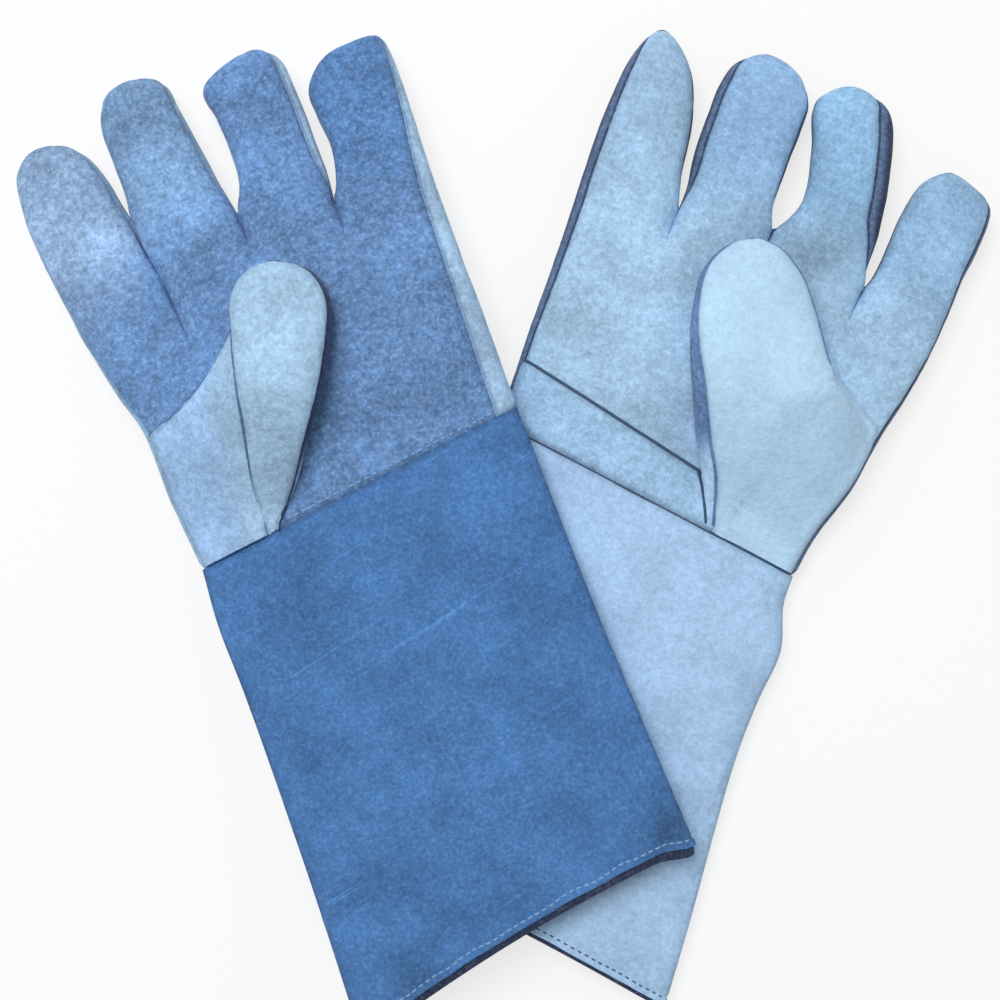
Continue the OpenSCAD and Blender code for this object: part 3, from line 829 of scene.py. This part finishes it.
def thumb_grid(glove, front, inset=0.0, cols=THUMB_COLS):
    """Outer points of the thumb's front or back leather, or of the whole thumb where front is None."""
    free, outer, rows, crotch = thumb_edges(glove)
    half = (outer - free) / 2
    middle = (outer + free) / 2
    deep = THUMB_H / 2 * (smooth(rows / 0.55) * 0.72 + 0.28)
    height = deep * np.minimum(1, np.linalg.norm(half, axis=1) / THUMB_FULL) ** 0.7
    rest = palm_level(middle[:, 0], np.minimum(middle[:, 1], 96)) + THUMB_REST
    level = rest + deep + 0.25 * (deep - height) - THUMB_SINK * (1 - smooth(rows / 0.26))
    if inset:
        half, height = shrunk(half, height, inset, 0.2)
    high, low = glove["thumb_end"]
    hinge = mix(high, low, smooth((rows / crotch - 0.5) / 0.5))
    stop = mix(hinge, 8, smooth((rows - crotch) / 0.07))
    start = refine_line(glove["thumb_seam"], rows)
    turn = np.linspace(0, 1, cols + 1)
    if front is None:
        angle = full_turn(cols)
    else:
        angle = start[:, None] + (stop - start + (0 if front else 360))[:, None] * turn
    return section_points(middle, half, level, height, angle)


def gusset_grid(glove, thumb, palm, tree):
    """Points of the panel from the last column of the thumb's own points, over the palm to its side seam."""
    hinge = thumb[:, -1]
    rows = len(hinge)
    turn = np.linspace(0, 1, GUSSET_COLS + 1)
    reach = np.linspace(palm[0, -1, 1] + 0.4, glove["gusset_top"], rows)
    edge = read_line(reach, palm[:, -1, 1], palm[:, -1]) + [0.5, 0, 0.5]
    plan = mix(hinge[:, None, :2], edge[:, None, :2], turn[:, None])
    bow = glove["gusset_bow"] * np.linspace(0, 1, rows)[:, None] ** 3
    plan[..., 1] -= bow * np.sin(math.pi * turn)
    steep, swell = glove["gusset_swell"]
    slope = mix(hinge[:, None, 2], edge[:, None, 2], turn ** steep) + swell * np.sin(math.pi * turn) ** 0.7
    z = soft_max(slope, palm_top(tree, plan) + 0.9, 2.0)
    z[:, 0] = hinge[:, 2]
    z[:, -1] = edge[:, 2]
    grid = np.dstack([plan, z])
    leave = (grid[:, 1] - grid[:, 0]) / turn[1]
    run = thumb[:, -1] - thumb[:, -4]
    run = run / np.linalg.norm(run, axis=1)[:, None] * np.linalg.norm(leave, axis=1)[:, None]
    bend = glove["gusset_flow"] * (turn * (1 - turn) ** 3)[:, None]
    grid = grid + (run - leave)[:, None, :] * bend
    rim = grid[-1]
    fray = glove["fray"] * (ripple(glove, rim, 3.1) + 0.6 * ripple(glove, rim, 9.0))
    skirt = []
    for drop in np.arange(1, SKIRT_ROWS + 1) / SKIRT_ROWS:
        row = rim.copy()
        row[:, 1] += (glove["gusset_fall"] + fray) * drop
        floor = np.minimum(palm_top(tree, row[:, :2]) + 1.5, rim[:, 2])
        row[:, 2] = mix(rim[:, 2], floor, smooth(drop))
        skirt.append(row)
    return np.concatenate([grid, np.array(skirt)])


def cuff_grid(glove, front, inset=0.0, span=(0.0, 1.0), rows=CUFF_ROWS, cols=CUFF_COLS):
    """Outer points of the cuff's front or back, or all round where front is None, from the hem up."""
    v = mix(span[0], span[1], np.linspace(0, 1, rows + 1) ** CUFF_CROWDING)
    little = along(curve(glove["cuff_little"]), 1 - v)
    thumb = along(curve(glove["cuff_thumb"]), 1 - v)
    half = (thumb - little) / 2
    half = half * (1 - inset / np.linalg.norm(half, axis=1))[:, None]
    turn = np.linspace(0, 1, cols + 1)[None, :]
    if front is None:
        angle = full_turn(cols)
    else:
        angle = 176 - 172 * turn if front else 176 + 188 * turn
    level = np.full(len(v), CUFF_H / 2)
    grid = section_points((thumb + little) / 2, half, level, level - inset, angle)
    side = across(angle)
    rise = glove["hem_bow"] * (1 - side ** 2) + glove["hem_tail"] * smooth((side + 1) / 0.22) * (1 - side) / 2
    grid[..., 1] += ((1 - v) ** 2)[:, None] * rise
    return grid


class Shading:
    """The shader nodes of a material or of the world, with short ways to add and link them."""

    def __init__(self, owner, shader="Principled BSDF"):
        owner.use_nodes = True
        self.nodes = owner.node_tree.nodes
        self.links = owner.node_tree.links
        self.shader = self.nodes[shader]

    def new(self, kind):
        return self.nodes.new(f"ShaderNode{kind}")

    def put(self, node, inputs):
        """Links each named input of a node to an output, or sets its own value."""
        for name, value in inputs.items():
            if isinstance(value, bpy.types.NodeSocket):
                self.links.new(value, node.inputs[name])
            else:
                node.inputs[name].default_value = value

    def attribute(self, name, output):
        node = self.new("Attribute")
        node.attribute_name = name
        return node.outputs[output]

    def noise_field(self, vector, scale, detail, rough=0.55):
        node = self.new("TexNoise")
        self.put(node, {"Vector": vector, "Scale": scale, "Detail": detail, "Roughness": rough})
        return node.outputs["Fac"]

    def ranged(self, value, low, high, out_low, out_high):
        node = self.new("MapRange")
        self.put(node, {"Value": value, "From Min": low, "From Max": high})
        self.put(node, {"To Min": out_low, "To Max": out_high})
        return node.outputs["Result"]

    def combine(self, operation, a, b):
        node = self.new("Math")
        node.operation = operation
        self.put(node, {0: a, 1: b})
        return node.outputs[0]

    def scaled(self, colour, value):
        node = self.new("VectorMath")
        node.operation = "SCALE"
        self.put(node, {0: colour, "Scale": value})
        return node.outputs[0]

    def mixed(self, share, a, b):
        node = self.new("Mix")
        node.data_type = "RGBA"
        self.put(node, {"Factor": share, "A": a, "B": b})
        return node.outputs["Result"]

    def bump(self, height, strength, distance):
        node = self.new("Bump")
        self.put(node, {"Height": height, "Strength": strength, "Distance": distance})
        return node.outputs["Normal"]

    def seen_ray(self):
        """1 for rays that show the background to the camera, straight or in a reflection."""
        path = self.new("LightPath").outputs
        shown = self.combine("MAXIMUM", path["Is Camera Ray"], path["Is Glossy Ray"])
        return self.combine("MAXIMUM", shown, path["Is Transmission Ray"])


def suede(name, cloud, mottle, fleck, nap, streak, sheen):
    """Split leather: clouds, mottling, flecks, a pale nap and long scratches over the piece's own tint."""
    material = bpy.data.materials.new(name)
    shading = Shading(material)
    place = shading.attribute("skin", "Vector")
    clouds = shading.noise_field(place, 0.42, 3.0)
    mottles = shading.noise_field(place, 3.2, 5.0, 0.66)
    flecks = shading.noise_field(place, 7.0, 4.0, 0.65)
    fibres = shading.noise_field(place, 26.0, 3.0, 0.7)
    stretch = shading.new("Mapping")
    stretch.vector_type = "TEXTURE"
    shading.put(stretch, {
        "Vector": place,
        "Location": (-1.74, 2.74, 0.0),
        "Rotation": (0.0, 0.0, math.radians(-13)),
        "Scale": (9.0, 0.2, 1.0),
    })
    streaks = shading.noise_field(stretch.outputs["Vector"], 1.0, 2.0, 0.5)
    value = shading.ranged(clouds, 0.32, 0.68, 1 - cloud, 1 + cloud)
    for factor in (
        shading.ranged(mottles, 0.3, 0.7, 1 - mottle, 1 + mottle),
        shading.ranged(flecks, 0.32, 0.68, 1 - fleck, 1 + fleck),
        shading.ranged(streaks, 0.7, 0.74, 1.0, 1 + streak),
    ):
        value = shading.combine("MULTIPLY", value, factor)
    shaded = shading.scaled(shading.attribute("tint", "Color"), value)
    pale = shading.combine(
        "ADD", shading.ranged(fibres, 0.56, 0.72, 0.0, nap), shading.ranged(flecks, 0.5, 0.72, 0.0, nap)
    )
    height = shading.combine("MULTIPLY", mottles, 0.9)
    for field, share in ((flecks, 0.45), (fibres, 0.2)):
        height = shading.combine("ADD", height, shading.combine("MULTIPLY", field, share))
    shading.put(shading.shader, {
        "Base Color": shading.mixed(pale, shaded, NAP_COLOUR),
        "Roughness": shading.ranged(flecks, 0.3, 0.7, 0.82, 0.98),
        "Normal": shading.bump(height, 0.55, 0.0011),
        "Specular IOR Level": 0.22,
        "Sheen Weight": sheen,
        "Sheen Roughness": 0.45,
        "Sheen Tint": SHEEN_COLOUR,
    })
    return material


def pile(name, colour, scale, depth):
    """Brushed fleece or felt: clumps of short fibres."""
    material = bpy.data.materials.new(name)
    shading = Shading(material)
    place = shading.attribute("skin", "Vector")
    clumps = shading.noise_field(place, scale, 5.0, 0.7)
    hairs = shading.noise_field(place, scale * 7, 3.0, 0.7)
    share = shading.ranged(clumps, 0.3, 0.7, 0.0, 1.0)
    shading.put(shading.shader, {
        "Base Color": shading.mixed(share, (*(colour * 0.62), 1.0), (*colour, 1.0)),
        "Roughness": shading.ranged(hairs, 0.3, 0.7, 0.85, 1.0),
        "Normal": shading.bump(shading.combine("ADD", clumps, hairs), 0.8, depth),
        "Specular IOR Level": 0.15,
        "Sheen Weight": 0.3,
    })
    return material


def thread(name):
    """Twisted sewing thread in the tint of its piece."""
    material = bpy.data.materials.new(name)
    shading = Shading(material)
    twist = shading.noise_field(shading.attribute("skin", "Vector"), 34.0, 2.0)
    light = shading.ranged(twist, 0.3, 0.7, 0.75, 1.15)
    shading.put(shading.shader, {
        "Base Color": shading.scaled(shading.attribute("tint", "Color"), light),
        "Roughness": shading.ranged(twist, 0.3, 0.7, 0.55, 0.8),
    })
    return material


HAND_DARK = suede("hand_suede_dark", 0.2, 0.34, 0.24, 0.13, 0.15, 0.12)
CUFF_DARK = suede("cuff_suede_dark", 0.16, 0.17, 0.2, 0.05, 0.4, 0.1)
HAND_LIGHT = suede("hand_suede_light", 0.17, 0.19, 0.15, 0.12, 0.03, 0.12)
THUMB_LIGHT = suede("thumb_suede_light", 0.06, 0.08, 0.07, 0.08, 0.02, 0.12)
CUFF_LIGHT = suede("cuff_suede_light", 0.1, 0.13, 0.1, 0.1, 0.05, 0.1)
NAVY_SUEDE = suede("suede_navy", 0.12, 0.22, 0.25, 0.08, 0.0, 0.1)
FLEECE = pile("fleece", FLEECE_COLOUR, 3.0, 0.002)
CANVAS = pile("cuff_canvas", CANVAS_COLOUR, 8.0, 0.0006)
THREAD = thread("sewing_thread")

# Material and slot of each glove's leathers
LOOKS = {
    "right": {
        "hand": (HAND_LIGHT, "leather_light"), "back": (NAVY_SUEDE, "leather_navy"),
        "thumb": (THUMB_LIGHT, "leather_light"), "cuff": (CUFF_LIGHT, "leather_light"),
    },
    "left": {
        "hand": (HAND_DARK, "leather_dark"), "back": (HAND_LIGHT, "leather_light"),
        "thumb": (HAND_LIGHT, "leather_light"), "cuff": (CUFF_DARK, "leather_dark"),
    },
}
THUMB_BACK = (HAND_LIGHT, "leather_light")


def add_piece(glove, name, mesh_data, look, node="", body="", joint=None):
    """A piece of a glove, which stands for a CAD node and rides on a body, or keeps its place where it has a
    joint.
    """
    points, faces, skin, tint = mesh_data
    name = f"{glove['name']}_{name}"
    mesh = bpy.data.meshes.new(name)
    mesh.from_pydata(lay(glove, points).tolist(), [], faces)
    place = mesh.attributes.new("skin", "FLOAT_VECTOR", "POINT")
    place.data.foreach_set("vector", ((skin + 100 * glove["seed"]) / 10).ravel())
    shade = mesh.attributes.new("tint", "FLOAT_COLOR", "POINT")
    rgba = np.hstack([np.broadcast_to(tint, points.shape), np.ones((len(points), 1))])
    shade.data.foreach_set("color", rgba.ravel())
    edit = bmesh.new()
    edit.from_mesh(mesh)
    bmesh.ops.remove_doubles(edit, verts=edit.verts, dist=2e-6)
    bmesh.ops.dissolve_degenerate(edit, edges=edit.edges, dist=1e-6)
    bmesh.ops.recalc_face_normals(edit, faces=edit.faces)
    edit.to_mesh(mesh)
    edit.free()
    mesh.polygons.foreach_set("use_smooth", [True] * len(mesh.polygons))
    mesh.set_sharp_from_angle(angle=math.radians(55))
    piece = add_object(name, mesh)
    material, slot = look
    mesh.materials.append(material)
    if node:
        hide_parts(f"{glove['name']}_{node}")
    if joint:
        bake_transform(piece)
    else:
        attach(piece, f"{glove['name']}_{body}")
    return piece


def add_liner(glove, part, grid, thick, body="", joint=None):
    """The padded fleece inside a part of the glove."""
    fleece = sheet(grid, 1, thick, FLEECE_COLOUR, True)
    piece = add_piece(glove, f"{part}_fleece", fleece, (FLEECE, "fleece"), f"{part}_liner", body, joint)


def bend_stretch(glove, line, reach, level, parent, child):
    """Two bodies and the stretch over which the leather between them turns, square to a line across it."""
    a, b = np.array(line, float)
    way = np.array([a[1] - b[1], b[0] - a[0]]) / np.linalg.norm(b - a)
    near, far = [tuple(lay(glove, [*((a + b) / 2 + way * at), level])) for at in reach]
    return f"{glove['name']}_{parent}", f"{glove['name']}_{child}", near, far


def join_sides(front, rear, first=0):
    """Lets two panels meet in the middle along both of their seams."""
    for side in (0, -1):
        front[first:, side] = rear[first:, side] = (front[first:, side] + rear[first:, side]) / 2


def join_tips(front, rear):
    front[-1] = rear[-1] = (front[-1].mean(axis=0) + rear[-1].mean(axis=0)) / 2


def make_fronts(glove):
    """Outer points of the palm and of the fronts of the four fingers."""
    palm = dress(glove, hand_grid(glove, True), 1, "LRB")
    fronts = [dress(glove, finger_grid(glove, finger, True), 1, "LR", fade="T") for finger in FINGERS]
    palm, fronts = settle_hand(palm, fronts, glove["slack"])
    for i, front in enumerate(fronts):
        front[0] = finger_part(palm[-1], i)
        front[1] = mix(front[1], front[0] + (front[2] - front[0]) / 2, 0.5)
    return palm, fronts


def make_hand(glove):
    looks = LOOKS[glove["name"]]
    palm, fronts = make_fronts(glove)
    back = dress(glove, hand_grid(glove, False), -1, "LRB", 0.6)
    back[..., 2] = np.maximum(back[..., 2], REST)
    join_sides(palm, back)
    for i, front in enumerate(fronts):
        front[0] = finger_part(palm[-1], i)
    tint = worn_and_shaded(glove, palm, hand_tint(glove, np.linspace(0, 1, len(palm))[:, None, None]))
    leather = sheet(palm, 1, LEATHER, seam_shade(palm, "LRB", tint))
    add_piece(glove, "palm", leather, looks["hand"], "palm_panel", "hand")
    leather = sheet(back, -1, LEATHER, seam_shade(back, "LRB", back_tint(glove, back)))
    add_piece(glove, "back", leather, looks["back"], "back_panel", "hand")
    welts = piping([palm[:, 0], palm[:, -1]], WELT, glove["colours"]["welt"])
    add_piece(glove, "side_welt", welts, looks["back"], "hand_welt", "hand")
    make_hand_liner(glove)
    make_fingers(glove, fronts, back)
    make_thumb(glove, palm)
    if glove["way"] > 0:
        make_band(glove, palm)
    make_wrist_seam(glove, palm)


def make_hand_liner(glove):
    v = np.linspace(0.02, 0.8, HAND_LINER_ROWS + 1)
    little = mix(-glove["wrist"], np.array(glove["roots"][0], float), v[:, None])
    thumb = along(curve(glove["hand_thumb"]), v)
    half = (thumb - little) / 2
    half = half * (1 - HAND_GAP / np.linalg.norm(half, axis=1))[:, None]
    level = hand_height(v) / 2
    height = level - 2.6 - 2.2 * smooth((v - 0.5) / 0.3)
    grid = section_points((thumb + little) / 2, half, level, height, full_turn(HAND_LINER_COLS))
    add_liner(glove, "hand", grid, HAND_LINER, "hand")


def short_of_tip(liner):
    """The rows of a liner that lie well inside the leather at the tip."""
    middle = liner.mean(axis=1)
    return liner[np.linalg.norm(middle - middle[-1], axis=1) > TIP_ROOM]


def make_fingers(glove, fronts, back):
    looks = LOOKS[glove["name"]]
    for i, (finger, front) in enumerate(zip(FINGERS, fronts)):
        joint = bend_stretch(glove, glove["roots"][i:i + 2], FINGER_REACH, FINGER_H / 2, "hand", finger)
        rear = dress(glove, finger_grid(glove, finger, False), -1, "LR", 0.6, fade="T")
        rear[..., 2] = np.maximum(rear[..., 2], REST)
        rear[0, WRAP_COLS:WRAP_COLS + FINGER_COLS + 1] = finger_part(back[-1], i, WRAP_COLS)
        if finger == "little":
            rear[0, :WRAP_COLS] = back[-1, :WRAP_COLS]
        if finger == "index":
            rear[0, -WRAP_COLS:] = back[-1, -WRAP_COLS:]
        join_sides(front, rear, 1)
        join_tips(front, rear)
        tint = seam_shade(front, "LR", worn_and_shaded(glove, front, finger_tint(glove, front, i)))
        leather = sheet(front, 1, LEATHER, tint)
        add_piece(glove, f"{finger}_palm_side", leather, looks["hand"], f"{finger}_front", joint=joint)
        leather = sheet(rear, -1, LEATHER, seam_shade(rear, "LR", back_tint(glove, rear)))
        add_piece(glove, f"{finger}_back_side", leather, looks["back"], f"{finger}_back", joint=joint)
        seam = np.vstack([front[:-1, 0], front[-2::-1, -1]])
        welt = piping([seam], FINGER_WELT, glove["colours"]["welt"])
        add_piece(glove, f"{finger}_seam", welt, looks["back"], f"{finger}_welt", joint=joint)
        liner = short_of_tip(finger_grid(glove, finger, None, LINER_GAP, LINER_COLS)[::LINER_STEP])
        add_liner(glove, finger, liner, FINGER_LINER, joint=joint)


def make_thumb(glove, palm):
    colours = glove["colours"]
    look = LOOKS[glove["name"]]["thumb"]
    joint = bend_stretch(glove, glove["crease"], THUMB_REACH, PALM_H + THUMB_H / 2, "hand", "thumb")
    seams = "L" if glove["way"] > 0 else "LR"
    front = dress(glove, thumb_grid(glove, True), 1, seams, 0.8, fade="T")
    front = settle(front, 1, THUMB_SLACK, THUMB_BUCKLE)
    rear = dress(glove, thumb_grid(glove, False), -1, seams, 0.4, fade="T")
    join_sides(front, rear)
    join_tips(front, rear)
    tree = palm_tree(palm)
    lay_on_palm(tree, front)
    rear[:, 0] = front[:, 0]
    rear[:, -1] = front[:, -1]
    free, _, rows, crotch = thumb_edges(glove)
    last = int(np.searchsorted(rows, crotch))
    gusset = dress(glove, gusset_grid(glove, front[:last + 1], palm, tree), 1, "", 0.6, fade="LR")
    lay_on_palm(tree, gusset[:, 1:-1])
    leather = sheet(front, 1, LEATHER, seam_shade(front, seams, colours["thumb"]))
    add_piece(glove, "thumb_palm_side", leather, look, "thumb_front", joint=joint)
    turn = np.linspace(0, 1, gusset.shape[1])[None, :, None]
    # the thumb's colour passes into the gusset's, which on the right glove carries painted light
    tint = mix(colours["thumb"], colours["gusset"], smooth(turn / 0.6))
    leather = sheet(gusset, 1, LEATHER, seam_shade(gusset, "RT", tint))
    add_piece(glove, "thumb_root", leather, look, "thumb_gusset", joint=joint)
    turn = np.linspace(0, 1, rear.shape[1])
    # the back darkens from near the root towards thumb_back, painted shade on the thumb's side wall, but
    # stays pale at the crotch
    fork = hill(rows - crotch, 0.07)[:, None] * smooth((turn - 0.6) / 0.3)
    dark = smooth((rows - 0.16) / 0.16)[:, None] * (1 - fork)
    leather = sheet(rear, -1, LEATHER, mix(colours["thumb"], colours["thumb_back"], dark[..., None]))
    add_piece(glove, "thumb_back_side", leather, THUMB_BACK, "thumb_back", joint=joint)
    # the welt's thumb_welt colour is darkened as painted shade as well
    seam = np.vstack([front[1:-2, 0], front[-3:last + 3:-1, -1]])
    welt = piping([seam], WELT, colours["thumb_welt"])
    add_piece(glove, "thumb_seam", welt, THUMB_BACK, "thumb_welt", joint=joint)
    if glove["way"] > 0:
        foot = free[1:int(0.42 * last)] - [0.6, 0]
        line = np.column_stack([foot, palm_top(tree, foot) + 0.9])
        seam = piping([line], FINGER_WELT, colours["thread"])
        add_piece(glove, "thumb_foot_seam", seam, (THREAD, "leather_light"), body="hand")
    else:
        # dark piping in the thumb's crease: seam thread and painted shade in the valley
        line = front[last // 6:last + 1, -1] + [0.4, 0, 0.1]
        width = mix(0.1, 0.7, smooth(np.linspace(0, 2, len(line))))
        add_piece(glove, "thumb_crease", piping([line], width, colours["crease"]), THUMB_BACK, joint=joint)
        # dark ragged piping along the gusset's rim: its frayed cut edge and a painted shadow line
        rim = gusset[-1] + [0, 0.3, -0.6]
        width = 0.45 + 0.25 * ripple(glove, rim, 2.3)
        add_piece(glove, "thumb_root_edge", piping([rim], width, colours["crease"]), THUMB_BACK, joint=joint)
    liner = thumb_grid(glove, None, LINER_GAP, LINER_COLS)[THUMB_LINER_START::LINER_STEP]
    add_liner(glove, "thumb", short_of_tip(liner), THUMB_LINER, joint=joint)


def make_band(glove, palm):
    """The strip across the palm between the wrist seam and a second seam, which runs straight."""
    colours = glove["colours"]
    (x0, y0), (x1, y1) = glove["band_line"]
    over = palm[..., 1] - y0 - (palm[..., 0] - x0) * (y1 - y0) / (x1 - x0)
    rows = np.arange(HAND_ROWS + 1)
    columns = []
    for c in range(BAND_COLS):
        top = max(3.0, np.interp(0, over[:, c], rows))
        steps = mix(0.012, 1.0, np.linspace(0, 1, BAND_ROWS + 1)) * top
        columns.append(read_line(steps, rows, palm[:, c]))
    grid = raised(np.stack(columns, axis=1), 1, 0.9)
    grid = raised(grid, 1, -0.5 * hill(edge_distance(grid, "BT"), 1.3))
    leather = sheet(grid, 1, BAND_LEATHER, seam_shade(grid, "BT", colours["band"], 0.4))
    add_piece(glove, "band", leather, LOOKS["right"]["hand"], "wrist_band", "hand")
    # dark thread in the band's upper seam, which also stands in for painted shadow in that seam
    seam = piping([grid[-1]], WELT, colours["thread"])
    add_piece(glove, "band_seam", seam, (THREAD, "leather_navy"), body="hand")


def seam_line(grid, reach):
    """A line on a grid that runs at a distance from its first row, a little short of its sides."""
    far = edge_distance(grid, "B")
    line = np.array([read_line(reach, far[:, c], grid[:, c]) for c in range(grid.shape[1])])
    return along(line, np.linspace(0.01, 0.99, SEAM_POINTS))


def make_wrist_seam(glove, palm):
    """Dark thread drawn into the seam on the right glove, also standing in for the painted shadow in that
    seam, a row of pale stitches above it on the left one.
    """
    tint = glove["colours"]["thread"]
    if glove["way"] > 0:
        seam = piping([palm[0]], WELT, tint)
    else:
        seam = stitches(seam_line(palm, 2.2), *WRIST_STITCH, tint)
    add_piece(glove, "wrist_seam", seam, (THREAD, LOOKS[glove["name"]]["hand"][1]), body="hand")


def make_cuff(glove):
    look = LOOKS[glove["name"]]["cuff"]
    wrist = (-glove["wrist"], glove["wrist"])
    joint = bend_stretch(glove, wrist, WRIST_REACH, CUFF_H / 2, "cuff", "hand")
    for sign, side, node in ((1, "front", "cuff_front"), (-1, "rear", "cuff_back")):
        front = side == "front"
        # the upper glove's front is the only one that nothing presses on
        bare = front and glove["way"] < 0
        grid = dress(glove, cuff_grid(glove, front), sign, "LRT", 0.6, not bare, "LR")
        grid = settle(grid, sign, CUFF_SLACK, CUFF_BUCKLE if bare else PRESSED_BUCKLE)
        grid = fold_hem(glove, grid, sign)
        if not bare:
            grid[..., 2] = np.clip(grid[..., 2], REST, CUFF_H - REST)
        tint = seam_shade(grid, "LRT", worn_and_shaded(glove, grid, glove["colours"]["cuff"]))
        add_piece(glove, f"cuff_{side}", sheet(grid, sign, LEATHER, tint), look, node, joint=joint)
        line = seam_line(grid, glove["hem_row"])
        seam = stitches(line, *(HEM_STITCH if bare else PRESSED_STITCH), glove["colours"]["thread"])
        add_piece(glove, f"hem_stitches_{side}", seam, (THREAD, look[1]), body="cuff")
    make_hem(glove)
    grid = cuff_grid(glove, None, CUFF_GAP, (0.07, 0.98), LINING_ROWS, LINING_COLS)
    lining = sheet(grid, 1, CANVAS_LINING, CANVAS_COLOUR, True)
    add_piece(glove, "cuff_inside", lining, (CANVAS, "lining"), "cuff_lining", joint=joint)


def fold_hem(glove, grid, sign):
    """The double thickness of the turned hem, up to its row of stitches."""
    far = edge_distance(grid, "B") - glove["hem_fold"]
    return raised(grid, sign, 0.45 * smooth(-far / 0.8) - 0.4 * hill(far, 0.7))


def make_hem(glove):
    """The mouth's edge, rolled over and turned up inside the cuff."""
    mouth = cuff_grid(glove, None, 0.7, (0.0, 0.01), 1, MOUTH_COLS)[0]
    inside = cuff_grid(glove, None, CUFF_GAP, (0.0, 0.075), MOUTH_ROWS, MOUTH_COLS)
    lip = []
    for a in np.linspace(math.pi, 0, LIP_STEPS + 1):
        ring = mix(mouth, inside[0], 0.5 - 0.5 * math.cos(a))
        ring[:, 1] -= glove["hem_lip"] * math.sin(a)
        lip.append(ring)
    grid = np.concatenate([inside[:0:-1], np.array(lip)])
    trim = sheet(grid, 1, HEM_TRIM, NAVY * 0.9, True)
    add_piece(glove, "hem", trim, (NAVY_SUEDE, "leather_navy"), "cuff_hem", "cuff")


for pair_glove in (RIGHT, LEFT):
    make_hand(pair_glove)
    make_cuff(pair_glove)


def make_stage():
    """A white floor that fades into a white world."""
    mesh = bpy.data.meshes.new("floor")
    reach = 3.0
    mesh.from_pydata(
        [(-reach, -reach, 0), (reach, -reach, 0), (reach, reach, 0), (-reach, reach, 0)], [], [(0, 1, 2, 3)]
    )
    floor = add_object("floor", mesh)
    floor.location.z = -0.0006
    material = bpy.data.materials.new("white_floor")
    shading = Shading(material)
    shading.put(shading.shader, {"Base Color": (0.9, 0.9, 0.9, 1.0), "Roughness": 0.9})
    length = shading.new("VectorMath")
    length.operation = "LENGTH"
    shading.put(length, {0: shading.new("NewGeometry").outputs["Position"]})
    share = shading.ranged(length.outputs["Value"], 0.35, 1.2, 0.72, 1.0)
    blend = shading.new("MixShader")
    shading.put(blend, {
        "Fac": shading.combine("MULTIPLY", shading.seen_ray(), share),
        1: shading.shader.outputs["BSDF"],
        2: shading.new("Emission").outputs["Emission"],
    })
    shading.put(shading.nodes["Material Output"], {"Surface": blend.outputs["Shader"]})
    mesh.materials.append(material)
    world = bpy.data.worlds.new("studio")
    bpy.context.scene.world = world
    sky = Shading(world, "Background")
    strength = sky.ranged(sky.seen_ray(), 0.0, 1.0, 0.4, 1.0)
    sky.put(sky.shader, {"Strength": strength, "Color": (1.0, 1.0, 1.0, 1.0)})


def add_light(name, place, aim, size, power):
    lamp = bpy.data.lights.new(name, "AREA")
    lamp.shape = "DISK"
    lamp.size = size
    lamp.energy = power
    light = add_object(name, lamp)
    light.location = place
    light.rotation_euler = (Vector(aim) - Vector(place)).to_track_quat("-Z", "Y").to_euler()


def make_camera():
    lens = bpy.data.cameras.new("camera")
    lens.lens = 60.45
    lens.sensor_width = 36.0
    camera = add_object("camera", lens)
    camera.location = (-0.0021, 0.00885, 0.65)
    bpy.context.scene.camera = camera


make_stage()
add_light("soft_overhead", (-0.35, 0.55, 1.5), (0, 0, 0), 0.9, 18.5)
make_camera()
bpy.context.scene.view_settings.view_transform = "Standard"
